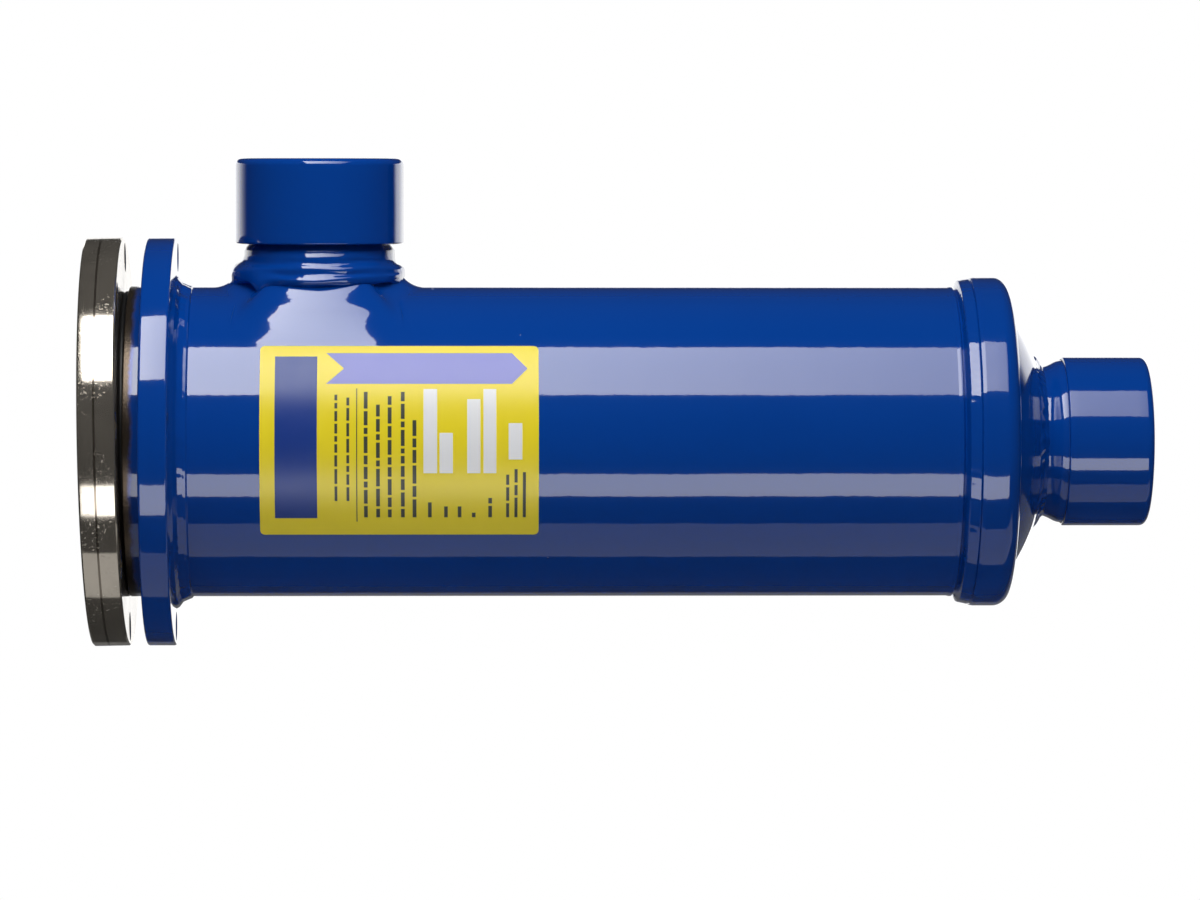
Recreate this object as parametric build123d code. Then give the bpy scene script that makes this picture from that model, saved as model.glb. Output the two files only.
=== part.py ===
from build123d import *
import math
import os

# Filter drier: a welded steel shell for two replaceable solid cores, angle type.
# Frame, in millimetres: the origin is the centre of the outlet socket's mouth, +X is the way the
# refrigerant leaves, and +Z is the way the inlet branch points. The cover is at the -X end.

# ---- pipe sockets and necks (both branches take 54 mm copper pipe) ----
pipe_bore_radius = 27.05
solder_depth = 25.0
socket_wall = 4.15
socket_length = 31.4
socket_lip_radius = 2.6
braze_clearance = 0.10
solder_stop_step = 2.45
neck_wall = 3.3
neck_nose_step = 0.5
outlet_shoulder_step = 1.7
inlet_shoulder_step = -1.6
outlet_shoulder_length = 6.2
inlet_shoulder_length = 2.3
outlet_neck_exposed = 9.3
inlet_neck_exposed = 10.95

# ---- shell tube ----
tube_outer_radius = 57.15
tube_wall = 3.6
tube_end_chamfer = 2.4
inlet_from_tube_end = 69.6
collar_height = 4.9
collar_wall = 4.4
collar_fillet = 9.7
relief_groove_width = 2.0
relief_groove_depth = 0.9

# ---- pressed end cap ----
cap_wall = 3.6
cap_slip = 0.10
cap_skirt_length = 8.7
cap_overlap = 7.5
knuckle_radius = 5.5
dome_radius = 84.0
valley_width = 6.25
valley_fillet = 2.5
neck_hole_clearance = 0.15

# ---- flange ring and cover ----
flange_width = 17.95
flange_thickness = 10.5
flange_setback = 6.6
flange_slip = 0.15
flange_chamfer = 0.6
bolt_from_rim = 6.95
bolt_hole_radius = 5.0
bolt_count = 8
bolt_start_angle = 7.8
cover_thickness = 13.5
cover_gap = 1.1
cover_chamfer = 0.6
spigot_clearance = 0.25
spigot_depth = 5.6
spring_pocket_depth = 1.5
spring_pocket_clearance = 1.2
seal_clearance = 0.04

# ---- weld beads ----
flange_weld_leg_up = 4.9
flange_weld_leg_along = 6.2
flange_weld_crown = 0.9
cap_weld_crown = 0.35
cap_weld_length = 4.4
outlet_weld_leg = 4.4
outlet_weld_crown = 0.8
inlet_wide_bulge = 4.4
inlet_waist_bulge = 0.6
inlet_thin_bulge = 1.5
inlet_waist_share = 0.62
root_gap = 1.2
cap_weld_crest_share = 0.33

# ---- core pack ----
core_clearance = 5.95
core_bore_clearance = 1.0
core_length = 139.7
core_chamfer = 1.5
felt_thickness = 2.0
plate_clearance = 2.05
plate_thickness = 2.0
middle_plate_thickness = 1.5
gasket_thickness = 2.5
cap_to_plate = 1.1
outlet_collar_wall = 1.4
outlet_collar_length = 13.0
outlet_collar_clearance = 2.5
strainer_wall = 0.8
strainer_fit = 0.2
strainer_hole_radius = 3.2
strainer_row_count = 9
strainer_round_count = 4
end_cup_depth = 3.0
end_cup_wall = 2.0
rod_radius = 4.0
rod_hole_clearance = 0.2
rod_overhang = 2.5
rod_chamfer = 0.8
spider_from_plate = 4.3
spider_hub_radius = 8.5
spider_thickness = 4.0
spider_arm_width = 6.0
spider_arm_count = 3
nut_across_flats = 13.0
nut_height = 6.5
washer_radius = 8.0
washer_thickness = 1.6
spring_wire_radius = 1.8
spring_mean_radius = 29.0
spring_turns = 3.5
spring_height = 23.1
spring_end_clearance = 0.05
wire_flat_count = 8

# ---- label ----
label_length = 100.3
label_thickness = 0.2
label_from_tube_end = 49.4
label_top_angle = 39.8
label_bottom_angle = -32.7
label_corner_radius = 1.6

# ---- places that follow from the sizes above, along X ----
tube_inner_radius = tube_outer_radius - tube_wall
flange_inner_radius = tube_outer_radius + flange_slip
flange_outer_radius = flange_inner_radius + flange_width
bolt_circle_radius = flange_outer_radius - bolt_from_rim
socket_outer_radius = pipe_bore_radius + socket_wall
neck_bore_radius = pipe_bore_radius - solder_stop_step
neck_outer_radius = neck_bore_radius + neck_wall
neck_nose_radius = neck_outer_radius + neck_nose_step
outlet_seam_x = -socket_length
dome_hole_radius = neck_outer_radius + neck_hole_clearance
dome_hole_x = outlet_seam_x - outlet_neck_exposed
dome_centre_x = dome_hole_x - math.sqrt(dome_radius**2 - dome_hole_radius**2)
cap_outer_radius = tube_outer_radius + cap_slip + cap_wall
dome_edge_radius = cap_outer_radius - knuckle_radius - valley_width
cap_face_x = dome_centre_x + math.sqrt(dome_radius**2 - dome_edge_radius**2)
knuckle_x = cap_face_x - knuckle_radius
cap_edge_x = knuckle_x - cap_skirt_length
tube_right_x = cap_edge_x + cap_overlap
outlet_plate_x = cap_face_x - cap_wall - cap_to_plate
outlet_neck_end_x = outlet_plate_x + gasket_thickness
plate_left_x = outlet_plate_x - plate_thickness
spider_left_x = outlet_plate_x + spider_from_plate
spider_right_x = spider_left_x + spider_thickness
core_outlet_x = plate_left_x - felt_thickness
middle_plate_x = core_outlet_x - core_length - felt_thickness
core_inlet_x = middle_plate_x - middle_plate_thickness - felt_thickness
end_plate_x = core_inlet_x - core_length - felt_thickness
spring_right_x = end_plate_x - plate_thickness
spring_left_x = spring_right_x - spring_height
spigot_x = spring_left_x + spring_pocket_depth
cover_face_x = spigot_x - spigot_depth
tube_left_x = cover_face_x + cover_gap
flange_left_x = tube_left_x + flange_setback
flange_right_x = flange_left_x + flange_thickness
inlet_x = tube_left_x + inlet_from_tube_end
collar_top_z = tube_outer_radius + collar_height
inlet_seam_z = collar_top_z + inlet_neck_exposed
inlet_height = inlet_seam_z + socket_length
collar_outer_radius = neck_bore_radius + collar_wall
spigot_radius = tube_inner_radius - spigot_clearance
plate_radius = tube_inner_radius - plate_clearance
core_outer_radius = tube_inner_radius - core_clearance
strainer_radius = neck_bore_radius - outlet_collar_clearance - outlet_collar_wall - strainer_fit
core_bore_radius = strainer_radius + core_bore_clearance


def turned(outline):
    """Solid of revolution about X of a face drawn with x along the axis and y as the radius."""
    return revolve(outline, Axis.X)


def ring(x_left, x_right, inner, outer):
    """Plain ring about X between two places."""
    corners = [(x_left, inner), (x_right, inner), (x_right, outer), (x_left, outer)]
    return turned(make_face(Polyline(*corners, close=True)))


def at_inlet(shape):
    """Stand a branch piece, made along +X with its mouth at the origin, on the inlet axis."""
    return Pos(inlet_x, 0, inlet_height) * Rot(0, -90, 0) * shape


def nearest(face, x, y):
    """The corner of a flat face that is nearest to a point."""
    return face.vertices().sort_by_distance((x, y, 0))[0]


def bolt_holes(x_left, x_right):
    """The circle of bolt drills through whatever lies between two places."""
    drills = []
    for number in range(bolt_count):
        angle = math.radians(bolt_start_angle + 360.0 / bolt_count * number)
        y = -bolt_circle_radius * math.cos(angle)
        z = bolt_circle_radius * math.sin(angle)
        drill = Rot(0, 90, 0) * Cylinder(bolt_hole_radius, x_right - x_left)
        drills.append(Pos((x_left + x_right) / 2, y, z) * drill)
    return drills


def socket():
    """Sleeve for a soldered pipe, mouth at the origin and pointing to +X, with a rounded outer lip."""
    counterbore = neck_nose_radius + braze_clearance
    outline = make_face(
        Polyline(
            (0, pipe_bore_radius),
            (-solder_depth, pipe_bore_radius),
            (-solder_depth, counterbore),
            (-socket_length, counterbore),
            (-socket_length, socket_outer_radius),
            (0, socket_outer_radius),
            close=True,
        )
    )
    outline = fillet(nearest(outline, 0, socket_outer_radius), socket_lip_radius)
    return turned(outline)


def neck(end, shoulder_step, shoulder_length):
    """Turned neck: its nose fills the socket's counterbore, its shoulder tapers to the plain body."""
    return turned(
        make_face(
            Polyline(
                (-solder_depth, neck_bore_radius),
                (-solder_depth, neck_nose_radius),
                (-socket_length, neck_nose_radius),
                (-socket_length, neck_outer_radius + shoulder_step),
                (-socket_length - shoulder_length, neck_outer_radius),
                (end, neck_outer_radius),
                (end, neck_bore_radius),
                close=True,
            )
        )
    )


def drawn_branch(body_radius, branch_radius, top_z, blend):
    """The tube's length of round bar joined to an upright branch, with a blend round the saddle."""
    middle_x = (tube_left_x + tube_right_x) / 2
    body = Pos(middle_x, 0, 0) * Rot(0, 90, 0) * Cylinder(body_radius, tube_right_x - tube_left_x)
    branch = Pos(inlet_x, 0, top_z / 2) * Cylinder(branch_radius, top_z)
    joined = body + branch
    saddle = joined.edges().filter_by(
        lambda edge: edge.geom_type not in (GeomType.CIRCLE, GeomType.LINE)
    )
    return fillet(saddle, blend)


def shell_tube():
    """Shell tube with a collar drawn out of its wall, a seal chamfer and a groove before the cap."""
    over = collar_fillet + tube_wall
    top_z = tube_outer_radius + over
    outside = drawn_branch(tube_outer_radius, collar_outer_radius, top_z, collar_fillet)
    inside = drawn_branch(tube_inner_radius, neck_bore_radius, top_z + over, over)
    trim_width = 2 * (collar_outer_radius + over)
    trim = Pos(inlet_x, 0, collar_top_z + over) * Box(trim_width, trim_width, 2 * over)
    mouth = turned(
        make_face(
            Polyline(
                (tube_left_x, 0),
                (tube_left_x, tube_inner_radius + tube_end_chamfer),
                (tube_left_x + tube_end_chamfer, tube_inner_radius),
                (tube_left_x + tube_end_chamfer, 0),
                close=True,
            )
        )
    )
    groove_right_x = cap_edge_x - cap_weld_length
    groove = ring(
        groove_right_x - relief_groove_width,
        groove_right_x,
        tube_outer_radius - relief_groove_depth,
        tube_outer_radius + relief_groove_depth,
    )
    return outside - inside - trim - mouth - groove


def end_cap():
    """Pressed cap: skirt over the tube, knuckle, flat valley and dome with the neck hole."""
    inner_radius = cap_outer_radius - cap_wall
    knuckle_y = cap_outer_radius - knuckle_radius
    inner_face_x = cap_face_x - cap_wall
    inner_dome = dome_radius - cap_wall
    inner_edge_radius = math.sqrt(inner_dome**2 - (inner_face_x - dome_centre_x) ** 2)
    inner_hole_x = dome_centre_x + math.sqrt(inner_dome**2 - dome_hole_radius**2)

    def dome_arc(radius, start, end):
        """Arc of the dome in section between two radii from the axis."""
        middle = (start + end) / 2
        points = [(dome_centre_x + math.sqrt(radius**2 - r**2), r) for r in (start, middle, end)]
        return ThreePointArc(*points)

    outline = make_face(
        Line((cap_edge_x, cap_outer_radius), (knuckle_x, cap_outer_radius))
        + CenterArc((knuckle_x, knuckle_y), knuckle_radius, 0, 90)
        + Line((cap_face_x, knuckle_y), (cap_face_x, dome_edge_radius))
        + dome_arc(dome_radius, dome_edge_radius, dome_hole_radius)
        + Line((dome_hole_x, dome_hole_radius), (inner_hole_x, dome_hole_radius))
        + dome_arc(inner_dome, dome_hole_radius, inner_edge_radius)
        + Line((inner_face_x, inner_edge_radius), (inner_face_x, knuckle_y))
        + CenterArc((knuckle_x, knuckle_y), knuckle_radius - cap_wall, 0, 90)
        + Line((knuckle_x, inner_radius), (cap_edge_x, inner_radius))
        + Line((cap_edge_x, inner_radius), (cap_edge_x, cap_outer_radius))
    )
    outline = fillet(nearest(outline, cap_face_x, dome_edge_radius), valley_fillet)
    return turned(outline)


def bead(toe_on_wall, toe_on_body, crown):
    """Convex weld bead section with its root, bulging by crown beyond the line between its toes."""
    root = (toe_on_wall[0], toe_on_body[1])
    middle_x = (toe_on_wall[0] + toe_on_body[0]) / 2
    middle_y = (toe_on_wall[1] + toe_on_body[1]) / 2
    along = Vector(toe_on_body[0] - toe_on_wall[0], toe_on_body[1] - toe_on_wall[1])
    outward = Vector(-along.Y, along.X).normalized()
    if outward.Y < 0:
        outward = outward * -1
    peak = (middle_x + outward.X * crown, middle_y + outward.Y * crown)
    return make_face(
        ThreePointArc(toe_on_wall, peak, toe_on_body) + Line(toe_on_body, root) + Line(root, toe_on_wall)
    )


def flange_ring():
    """Flange ring with the bolt circle and broken edges."""
    blank = ring(flange_left_x, flange_right_x, flange_inner_radius, flange_outer_radius)
    rims = blank.edges().filter_by(GeomType.CIRCLE).group_by(SortBy.RADIUS)[-1]
    blank = chamfer(rims, flange_chamfer)
    return blank - bolt_holes(flange_left_x, flange_right_x)


def flange_weld():
    """Bead between the flange's right face and the tube."""
    return turned(
        bead(
            (flange_right_x, tube_outer_radius + flange_weld_leg_up),
            (flange_right_x + flange_weld_leg_along, tube_outer_radius),
            flange_weld_crown,
        )
    )


def cap_weld():
    """Bead between the cap's open edge and the tube, a little proud of the skirt."""
    crest = (cap_edge_x - cap_weld_length * cap_weld_crest_share, cap_outer_radius + cap_weld_crown)
    toe = (cap_edge_x - cap_weld_length, tube_outer_radius)
    return turned(
        make_face(
            ThreePointArc((cap_edge_x, cap_outer_radius), crest, toe)
            + Line(toe, (cap_edge_x, tube_outer_radius))
            + Line((cap_edge_x, tube_outer_radius), (cap_edge_x, cap_outer_radius))
        )
    )


def outlet_weld():
    """Fillet bead in the corner between dome and neck; its lower side follows the dome."""
    dome_toe = neck_outer_radius + outlet_weld_leg
    dome_toe_x = dome_centre_x + math.sqrt(dome_radius**2 - dome_toe**2)
    hole_side = (dome_hole_x, dome_hole_radius)
    neck_toe = (outlet_seam_x - outlet_shoulder_length, neck_outer_radius)
    middle_r = (dome_hole_radius + dome_toe) / 2
    under = (dome_centre_x + math.sqrt(dome_radius**2 - middle_r**2), middle_r)
    lean = outlet_weld_crown / math.sqrt(2)
    over = ((dome_toe_x + neck_toe[0]) / 2 + lean, (dome_toe + neck_toe[1]) / 2 + lean)
    return turned(
        make_face(
            ThreePointArc((dome_toe_x, dome_toe), over, neck_toe)
            + Line(neck_toe, (dome_hole_x, neck_outer_radius))
            + Line((dome_hole_x, neck_outer_radius), hole_side)
            + ThreePointArc(hole_side, under, (dome_toe_x, dome_toe))
        )
    )


def inlet_weld():
    """Two-run bead on the drawn collar: a thin run over a wide one, with its root in the gap."""
    low = collar_top_z
    high = inlet_seam_z - inlet_shoulder_length
    waist = (neck_outer_radius + inlet_waist_bulge, low + (high - low) * inlet_waist_share)
    wide = (neck_outer_radius + inlet_wide_bulge, (low + waist[1]) / 2)
    thin = (neck_outer_radius + inlet_thin_bulge, (waist[1] + high) / 2)
    section = make_face(
        ThreePointArc((collar_outer_radius, low), wide, waist)
        + ThreePointArc(waist, thin, (neck_outer_radius, high))
        + Polyline(
            (neck_outer_radius, high),
            (neck_outer_radius, low + root_gap),
            (neck_bore_radius, low + root_gap),
            (neck_bore_radius, low),
            (collar_outer_radius, low),
        )
    )
    return Pos(inlet_x, 0, 0) * revolve(Plane.XZ * section, Axis.Z)


def cover_plate():
    """Machined cover: rim with broken edges, spigot that fits the tube, pocket for the spring."""
    left = cover_face_x - cover_thickness
    pocket_radius = spring_mean_radius + spring_wire_radius + spring_pocket_clearance
    blank = turned(
        make_face(
            Polyline(
                (left, 0),
                (left, flange_outer_radius - cover_chamfer),
                (left + cover_chamfer, flange_outer_radius),
                (cover_face_x - cover_chamfer, flange_outer_radius),
                (cover_face_x, flange_outer_radius - cover_chamfer),
                (cover_face_x, spigot_radius),
                (spigot_x, spigot_radius),
                (spigot_x, pocket_radius),
                (spring_left_x, pocket_radius),
                (spring_left_x, 0),
                close=True,
            )
        )
    )
    return blank - bolt_holes(left, cover_face_x)


def cover_seal():
    """Round seal ring in the three-cornered space between cover face, spigot and tube chamfer."""
    corner = cover_gap + tube_inner_radius + tube_end_chamfer - spigot_radius
    section = corner / (2 + math.sqrt(2)) - seal_clearance
    centre = (cover_face_x + section + seal_clearance, spigot_radius + section + seal_clearance)
    return turned(Pos(*centre) * Circle(section))


def outlet_gasket():
    """Flat gasket between the neck's inner end and the outlet plate."""
    hole = strainer_radius + strainer_fit + outlet_collar_wall + strainer_fit
    return ring(outlet_plate_x, outlet_neck_end_x, hole, neck_outer_radius)


def outlet_plate():
    """Plate with a collar drawn towards the outlet, which enters the neck."""
    inner = strainer_radius + strainer_fit
    outer = inner + outlet_collar_wall
    tip = outlet_plate_x + outlet_collar_length
    return turned(
        make_face(
            Polyline(
                (plate_left_x, inner),
                (tip, inner),
                (tip, outer),
                (outlet_plate_x, outer),
                (outlet_plate_x, plate_radius),
                (plate_left_x, plate_radius),
                close=True,
            )
        )
    )


def rod_spider():
    """Hub on three arms across the outlet collar, which the tie rod passes through."""
    reach = strainer_radius + strainer_fit
    hole = rod_radius + rod_hole_clearance
    hub = ring(spider_left_x, spider_right_x, hole, spider_hub_radius)
    middle_x = (spider_left_x + spider_right_x) / 2
    arms = []
    for number in range(spider_arm_count):
        span = reach - hole
        arm = Pos(middle_x, 0, reach - span / 2) * Box(spider_thickness, spider_arm_width, span)
        arms.append(Rot(360.0 / spider_arm_count * number, 0, 0) * arm)
    drill = Pos(middle_x, 0, 0) * Rot(0, 90, 0) * Cylinder(hole, 2 * spider_thickness)
    rim = ring(spider_left_x, spider_right_x, reach, 2 * reach)
    return hub + arms - drill - rim


def strainer_tube():
    """Perforated tube in the cores' bore, from the spider to the end plate's cup."""
    right = spider_left_x
    left = end_plate_x - end_cup_depth + strainer_fit
    inner = strainer_radius - strainer_wall
    wall = ring(left, right, inner, strainer_radius)
    perforated = core_inlet_x - core_length, core_outlet_x
    pitch = (perforated[1] - perforated[0]) / (strainer_row_count + 1)
    drills = []
    for row in range(strainer_row_count):
        x = perforated[0] + pitch * (row + 1)
        turn = 180.0 / strainer_round_count * (row % 2)
        for number in range(strainer_round_count // 2):
            angle = turn + 360.0 / strainer_round_count * number
            drill = Cylinder(strainer_hole_radius, 3 * strainer_radius)
            drills.append(Pos(x, 0, 0) * Rot(angle, 0, 0) * drill)
    return wall - drills


def middle_plate():
    """Ring plate between the two cores."""
    left = middle_plate_x - middle_plate_thickness
    return ring(left, middle_plate_x, strainer_radius + strainer_fit, plate_radius)


def end_plate():
    """Pressed plate with a cup that holds the strainer's end and takes the tie rod."""
    cup_inner = strainer_radius + strainer_fit
    cup_outer = cup_inner + end_cup_wall
    cup_floor_x = end_plate_x - end_cup_depth
    return turned(
        make_face(
            Polyline(
                (end_plate_x, cup_inner),
                (end_plate_x, plate_radius),
                (spring_right_x, plate_radius),
                (spring_right_x, cup_outer),
                (cup_floor_x - end_cup_wall, cup_outer),
                (cup_floor_x - end_cup_wall, rod_radius + rod_hole_clearance),
                (cup_floor_x, rod_radius + rod_hole_clearance),
                (cup_floor_x, cup_inner),
                close=True,
            )
        )
    )


def core(right_x):
    """Moulded desiccant block with a through bore and broken edges."""
    block = ring(right_x - core_length, right_x, core_bore_radius, core_outer_radius)
    rims = block.edges().filter_by(GeomType.CIRCLE).group_by(SortBy.RADIUS)[-1]
    return chamfer(rims, core_chamfer)


def felt_pad(right_x):
    """Felt ring that seals one end of a core."""
    return ring(right_x - felt_thickness, right_x, core_bore_radius, core_outer_radius)


def hex_nut(left_x):
    """Hexagon nut with its bearing face turned to the pack."""
    flat = RegularPolygon(nut_across_flats / 2, 6, major_radius=False) - Circle(rod_radius)
    return Pos(left_x, 0, 0) * extrude(Plane.YZ * flat, nut_height)


def tie_rod_nuts():
    """The two nuts, one outside the spider and one outside the end plate."""
    outlet_side = hex_nut(spider_right_x)
    inlet_side = hex_nut(washer_left_x() - nut_height)
    return Compound(children=[outlet_side, inlet_side])


def washer_left_x():
    """Outer face of the washer on the end plate's cup."""
    return end_plate_x - end_cup_depth - end_cup_wall - washer_thickness


def tie_rod():
    """Rod that holds the pack together, a little longer than the nuts at each end."""
    right = spider_right_x + nut_height + rod_overhang
    left = washer_left_x() - nut_height - rod_overhang
    rod = Rot(0, 90, 0) * Cylinder(rod_radius, right - left)
    rod = chamfer(rod.edges().filter_by(GeomType.CIRCLE), rod_chamfer)
    return Pos((left + right) / 2, 0, 0) * rod


def tie_rod_washer():
    """Plain washer between the end plate's cup and its nut."""
    left = washer_left_x()
    return ring(left, left + washer_thickness, rod_radius + rod_hole_clearance, washer_radius)


def pack_spring():
    """Compression spring, ends ground flat; the wire has wire_flat_count flats, which keeps its facets few."""
    path = Helix(
        spring_height / spring_turns,
        spring_height,
        spring_mean_radius,
        center=(spring_left_x, 0, 0),
        direction=(1, 0, 0),
    )
    wire = Plane(origin=path @ 0, z_dir=path % 0) * RegularPolygon(spring_wire_radius, wire_flat_count)
    reach = spring_mean_radius + 2 * spring_wire_radius
    space = ring(
        spring_left_x + spring_end_clearance,
        spring_right_x - spring_end_clearance,
        spring_mean_radius / 2,
        reach,
    )
    return sweep(wire, path=path) & space


def label():
    """Thin printed sheet with rounded corners, stuck round the front of the tube."""
    outer = tube_outer_radius + label_thickness
    left = tube_left_x + label_from_tube_end
    top = outer * math.sin(math.radians(label_top_angle))
    bottom = outer * math.sin(math.radians(label_bottom_angle))
    sheet = ring(left, left + label_length, tube_outer_radius, outer)
    outline = RectangleRounded(label_length, top - bottom, label_corner_radius)
    cut = extrude(Plane.XZ * outline, 2 * outer)
    return sheet & (Pos(left + label_length / 2, 0, (top + bottom) / 2) * cut)


def build():
    """Every piece by its node name."""
    inlet_neck_end = inlet_height - collar_top_z - root_gap
    pieces = {
        "shell_tube": shell_tube(),
        "flange_ring": flange_ring(),
        "flange_weld": flange_weld(),
        "end_cap": end_cap(),
        "cap_weld": cap_weld(),
        "outlet_neck": neck(outlet_neck_end_x, outlet_shoulder_step, outlet_shoulder_length),
        "outlet_weld": outlet_weld(),
        "outlet_socket": socket(),
        "inlet_neck": at_inlet(neck(-inlet_neck_end, inlet_shoulder_step, inlet_shoulder_length)),
        "inlet_weld": inlet_weld(),
        "inlet_socket": at_inlet(socket()),
        "label": label(),
        "outlet_gasket": outlet_gasket(),
        "outlet_plate": outlet_plate(),
        "rod_spider": rod_spider(),
        "strainer_tube": strainer_tube(),
        "tie_rod": tie_rod(),
        "tie_rod_nuts": tie_rod_nuts(),
        "tie_rod_washer": tie_rod_washer(),
        "core_outlet_side": core(core_outlet_x),
        "core_inlet_side": core(core_inlet_x),
        "middle_plate": middle_plate(),
        "felt_pad_1": felt_pad(plate_left_x),
        "felt_pad_2": felt_pad(core_outlet_x - core_length),
        "felt_pad_3": felt_pad(middle_plate_x - middle_plate_thickness),
        "felt_pad_4": felt_pad(core_inlet_x - core_length),
        "end_plate": end_plate(),
        "pack_spring": pack_spring(),
        "cover_plate": cover_plate(),
        "cover_seal": cover_seal(),
    }
    return pieces


os.makedirs("parts", exist_ok=True)
for name, shape in build().items():
    export_step(shape, f"parts/{name}.step")
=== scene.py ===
import logging
import math
from dataclasses import dataclass, field, replace
from enum import Enum, IntEnum
from typing import Callable, Sequence

import bmesh
import bpy
import numpy as np
from mathutils import Matrix


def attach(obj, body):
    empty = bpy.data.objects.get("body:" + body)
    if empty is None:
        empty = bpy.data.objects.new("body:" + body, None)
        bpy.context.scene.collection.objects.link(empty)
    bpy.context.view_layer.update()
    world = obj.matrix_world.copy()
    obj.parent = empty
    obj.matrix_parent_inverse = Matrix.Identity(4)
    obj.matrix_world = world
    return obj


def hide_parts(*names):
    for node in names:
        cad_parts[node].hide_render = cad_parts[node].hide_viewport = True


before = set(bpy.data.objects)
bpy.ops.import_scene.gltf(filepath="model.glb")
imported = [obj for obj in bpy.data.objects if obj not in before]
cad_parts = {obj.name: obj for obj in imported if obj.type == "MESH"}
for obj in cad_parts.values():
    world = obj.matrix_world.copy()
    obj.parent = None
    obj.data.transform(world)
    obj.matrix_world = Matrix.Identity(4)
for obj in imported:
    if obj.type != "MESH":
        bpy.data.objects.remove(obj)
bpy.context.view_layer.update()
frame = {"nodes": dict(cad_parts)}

# Filter drier with a blue powder coat, a turned steel cover and a printed label, in the CAD frame:
# +X is the way the refrigerant leaves, +Z the way the inlet branch points, sizes in millimetres.

MM = 0.001
Array = np.ndarray
Pair = tuple[float, float]
Triple = tuple[float, float, float]
Quad = tuple[float, float, float, float]
Colour = Quad
Material = bpy.types.Material
Thing = bpy.types.Object
Socket = bpy.types.NodeSocket
log = logging.getLogger("filter_drier")


class Body(Enum):
    """The two bodies of the part: all that stays, and the cover that lifts off."""

    SHELL = "shell"
    COVER = "cover"


class Slot(Enum):
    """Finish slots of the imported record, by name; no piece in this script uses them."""

    PAINT = "blue_paint"
    TURNED = "turned_steel"
    SPRING = "spring_steel"
    SEAL = "seal_rubber"
    LABEL = "label_print"


@dataclass(frozen=True)
class Patch:
    """A grid of points in millimetres, with the finish number of its faces.

    A wrapped direction joins its last row to its first.
    """

    points: Array
    wrap_u: bool = False
    wrap_v: bool = False
    finish: int = 0

    def quads(self) -> Array:
        """Corner numbers of the grid's cells: (i, j), (i+1, j), (i+1, j+1), (i, j+1)."""
        rows, columns = self.points.shape[:2]
        i = np.arange(rows if self.wrap_u else rows - 1)
        j = np.arange(columns if self.wrap_v else columns - 1)
        i, j = np.meshgrid(i, j, indexing="ij")
        near, far = i, (i + 1) % rows
        left, right = j, (j + 1) % columns
        near, far = near * columns, far * columns
        return np.stack((near + left, far + left, far + right, near + right), axis=-1).reshape(-1, 4)

    def at(self, points: Array) -> "Patch":
        """The same patch with its points moved."""
        return replace(self, points=points)


def rounded(corners: Sequence[Triple], steps: int = 8) -> Array:
    """Open outline through corners, each but the ends turned by an arc.

    A corner with radius q and turn t is replaced by the arc that touches both its sides at q tan(t/2) from it.

    Args:
        corners: (x, y, radius) of each corner.
        steps: segments of each arc.

    Returns:
        The outline's points, as an array of (x, y).
    """
    last_number = len(corners) - 1
    points: list[Array] = []
    for number, (x, y, radius) in enumerate(corners):
        here = np.array((x, y))
        if radius <= 0 or number in (0, last_number):
            points.append(here[None])
            continue
        before = np.array(corners[number - 1][:2]) - here
        after = np.array(corners[number + 1][:2]) - here
        before = before / np.linalg.norm(before)
        after = after / np.linalg.norm(after)
        half = math.acos(float(np.clip(before @ after, -1, 1))) / 2
        middle = (before + after) / np.linalg.norm(before + after)
        centre = here + middle * radius / math.sin(half)
        first = here + before * radius / math.tan(half) - centre
        last = here + after * radius / math.tan(half) - centre
        start = math.atan2(first[1], first[0])
        sweep = (math.atan2(last[1], last[0]) - start + math.pi) % (2 * math.pi) - math.pi
        angle = start + sweep * np.linspace(0, 1, steps + 1)
        points.append(centre + radius * np.stack((np.cos(angle), np.sin(angle)), axis=-1))
    return np.concatenate(points)


def fine(outline: Array, longest: float, closed: bool = False) -> Array:
    """Divide the outline's sides evenly so that none is longer than a given length."""
    after = np.roll(outline, -1, axis=0)
    sides = len(outline) if closed else len(outline) - 1
    parts: list[Array] = []
    for number in range(sides):
        pieces = max(1, math.ceil(float(np.linalg.norm(after[number] - outline[number])) / longest))
        share = np.arange(pieces)[:, None] / pieces
        parts.append(outline[number] * (1 - share) + after[number] * share)
    if not closed:
        parts.append(outline[-1:])
    return np.concatenate(parts)


def polar(x: Array, r: Array, a: Array) -> Array:
    """Points (x, r sin a, r cos a): at angle a from the top, round X."""
    return np.stack((x + 0 * a, r * np.sin(a), r * np.cos(a)), axis=-1)


def about_x(outline: Array, angles: Array) -> Array:
    """Turn an outline of (x, radius) about X."""
    return polar(outline[:, :1], outline[:, 1:], angles)


def at_x(x: float, across: Array) -> Array:
    """Points (x, y, z) in a plane across X, of an array of (y, z)."""
    return np.concatenate((np.full((*across.shape[:-1], 1), x), across), axis=-1)


def turns(count: int) -> Array:
    """Evenly spaced angles of one whole turn."""
    return np.arange(count) * 2 * math.pi / count


def lathe(outline: Array, finish: int = 0, count: int = 256, closed: bool = False) -> Patch:
    """Surface of revolution of an outline about X."""
    return Patch(about_x(outline, turns(count)), wrap_u=closed, wrap_v=True, finish=finish)


def stand_up(patch: Patch, x: float, z: float) -> Patch:
    """Turn a branch patch, made along +X from the origin, so that +X points up, and move it to (x, 0, z)."""
    p = patch.points
    return patch.at(np.stack((x - p[..., 2], p[..., 1], z + p[..., 0]), axis=-1))


def wander(angle: Array, seed: int, waves: Sequence[int]) -> Array:
    """Uneven but closed variation round a turn: a sum of sines of whole wave numbers, within about -1 to 1."""
    dice = np.random.default_rng(seed)
    total = np.zeros_like(angle, dtype=float)
    for wave in waves:
        total = total + dice.uniform(0.5, 1.0) * np.sin(wave * angle + dice.uniform(0, 2 * math.pi))
    return total / max(1.0, math.sqrt(len(waves)))


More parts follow.
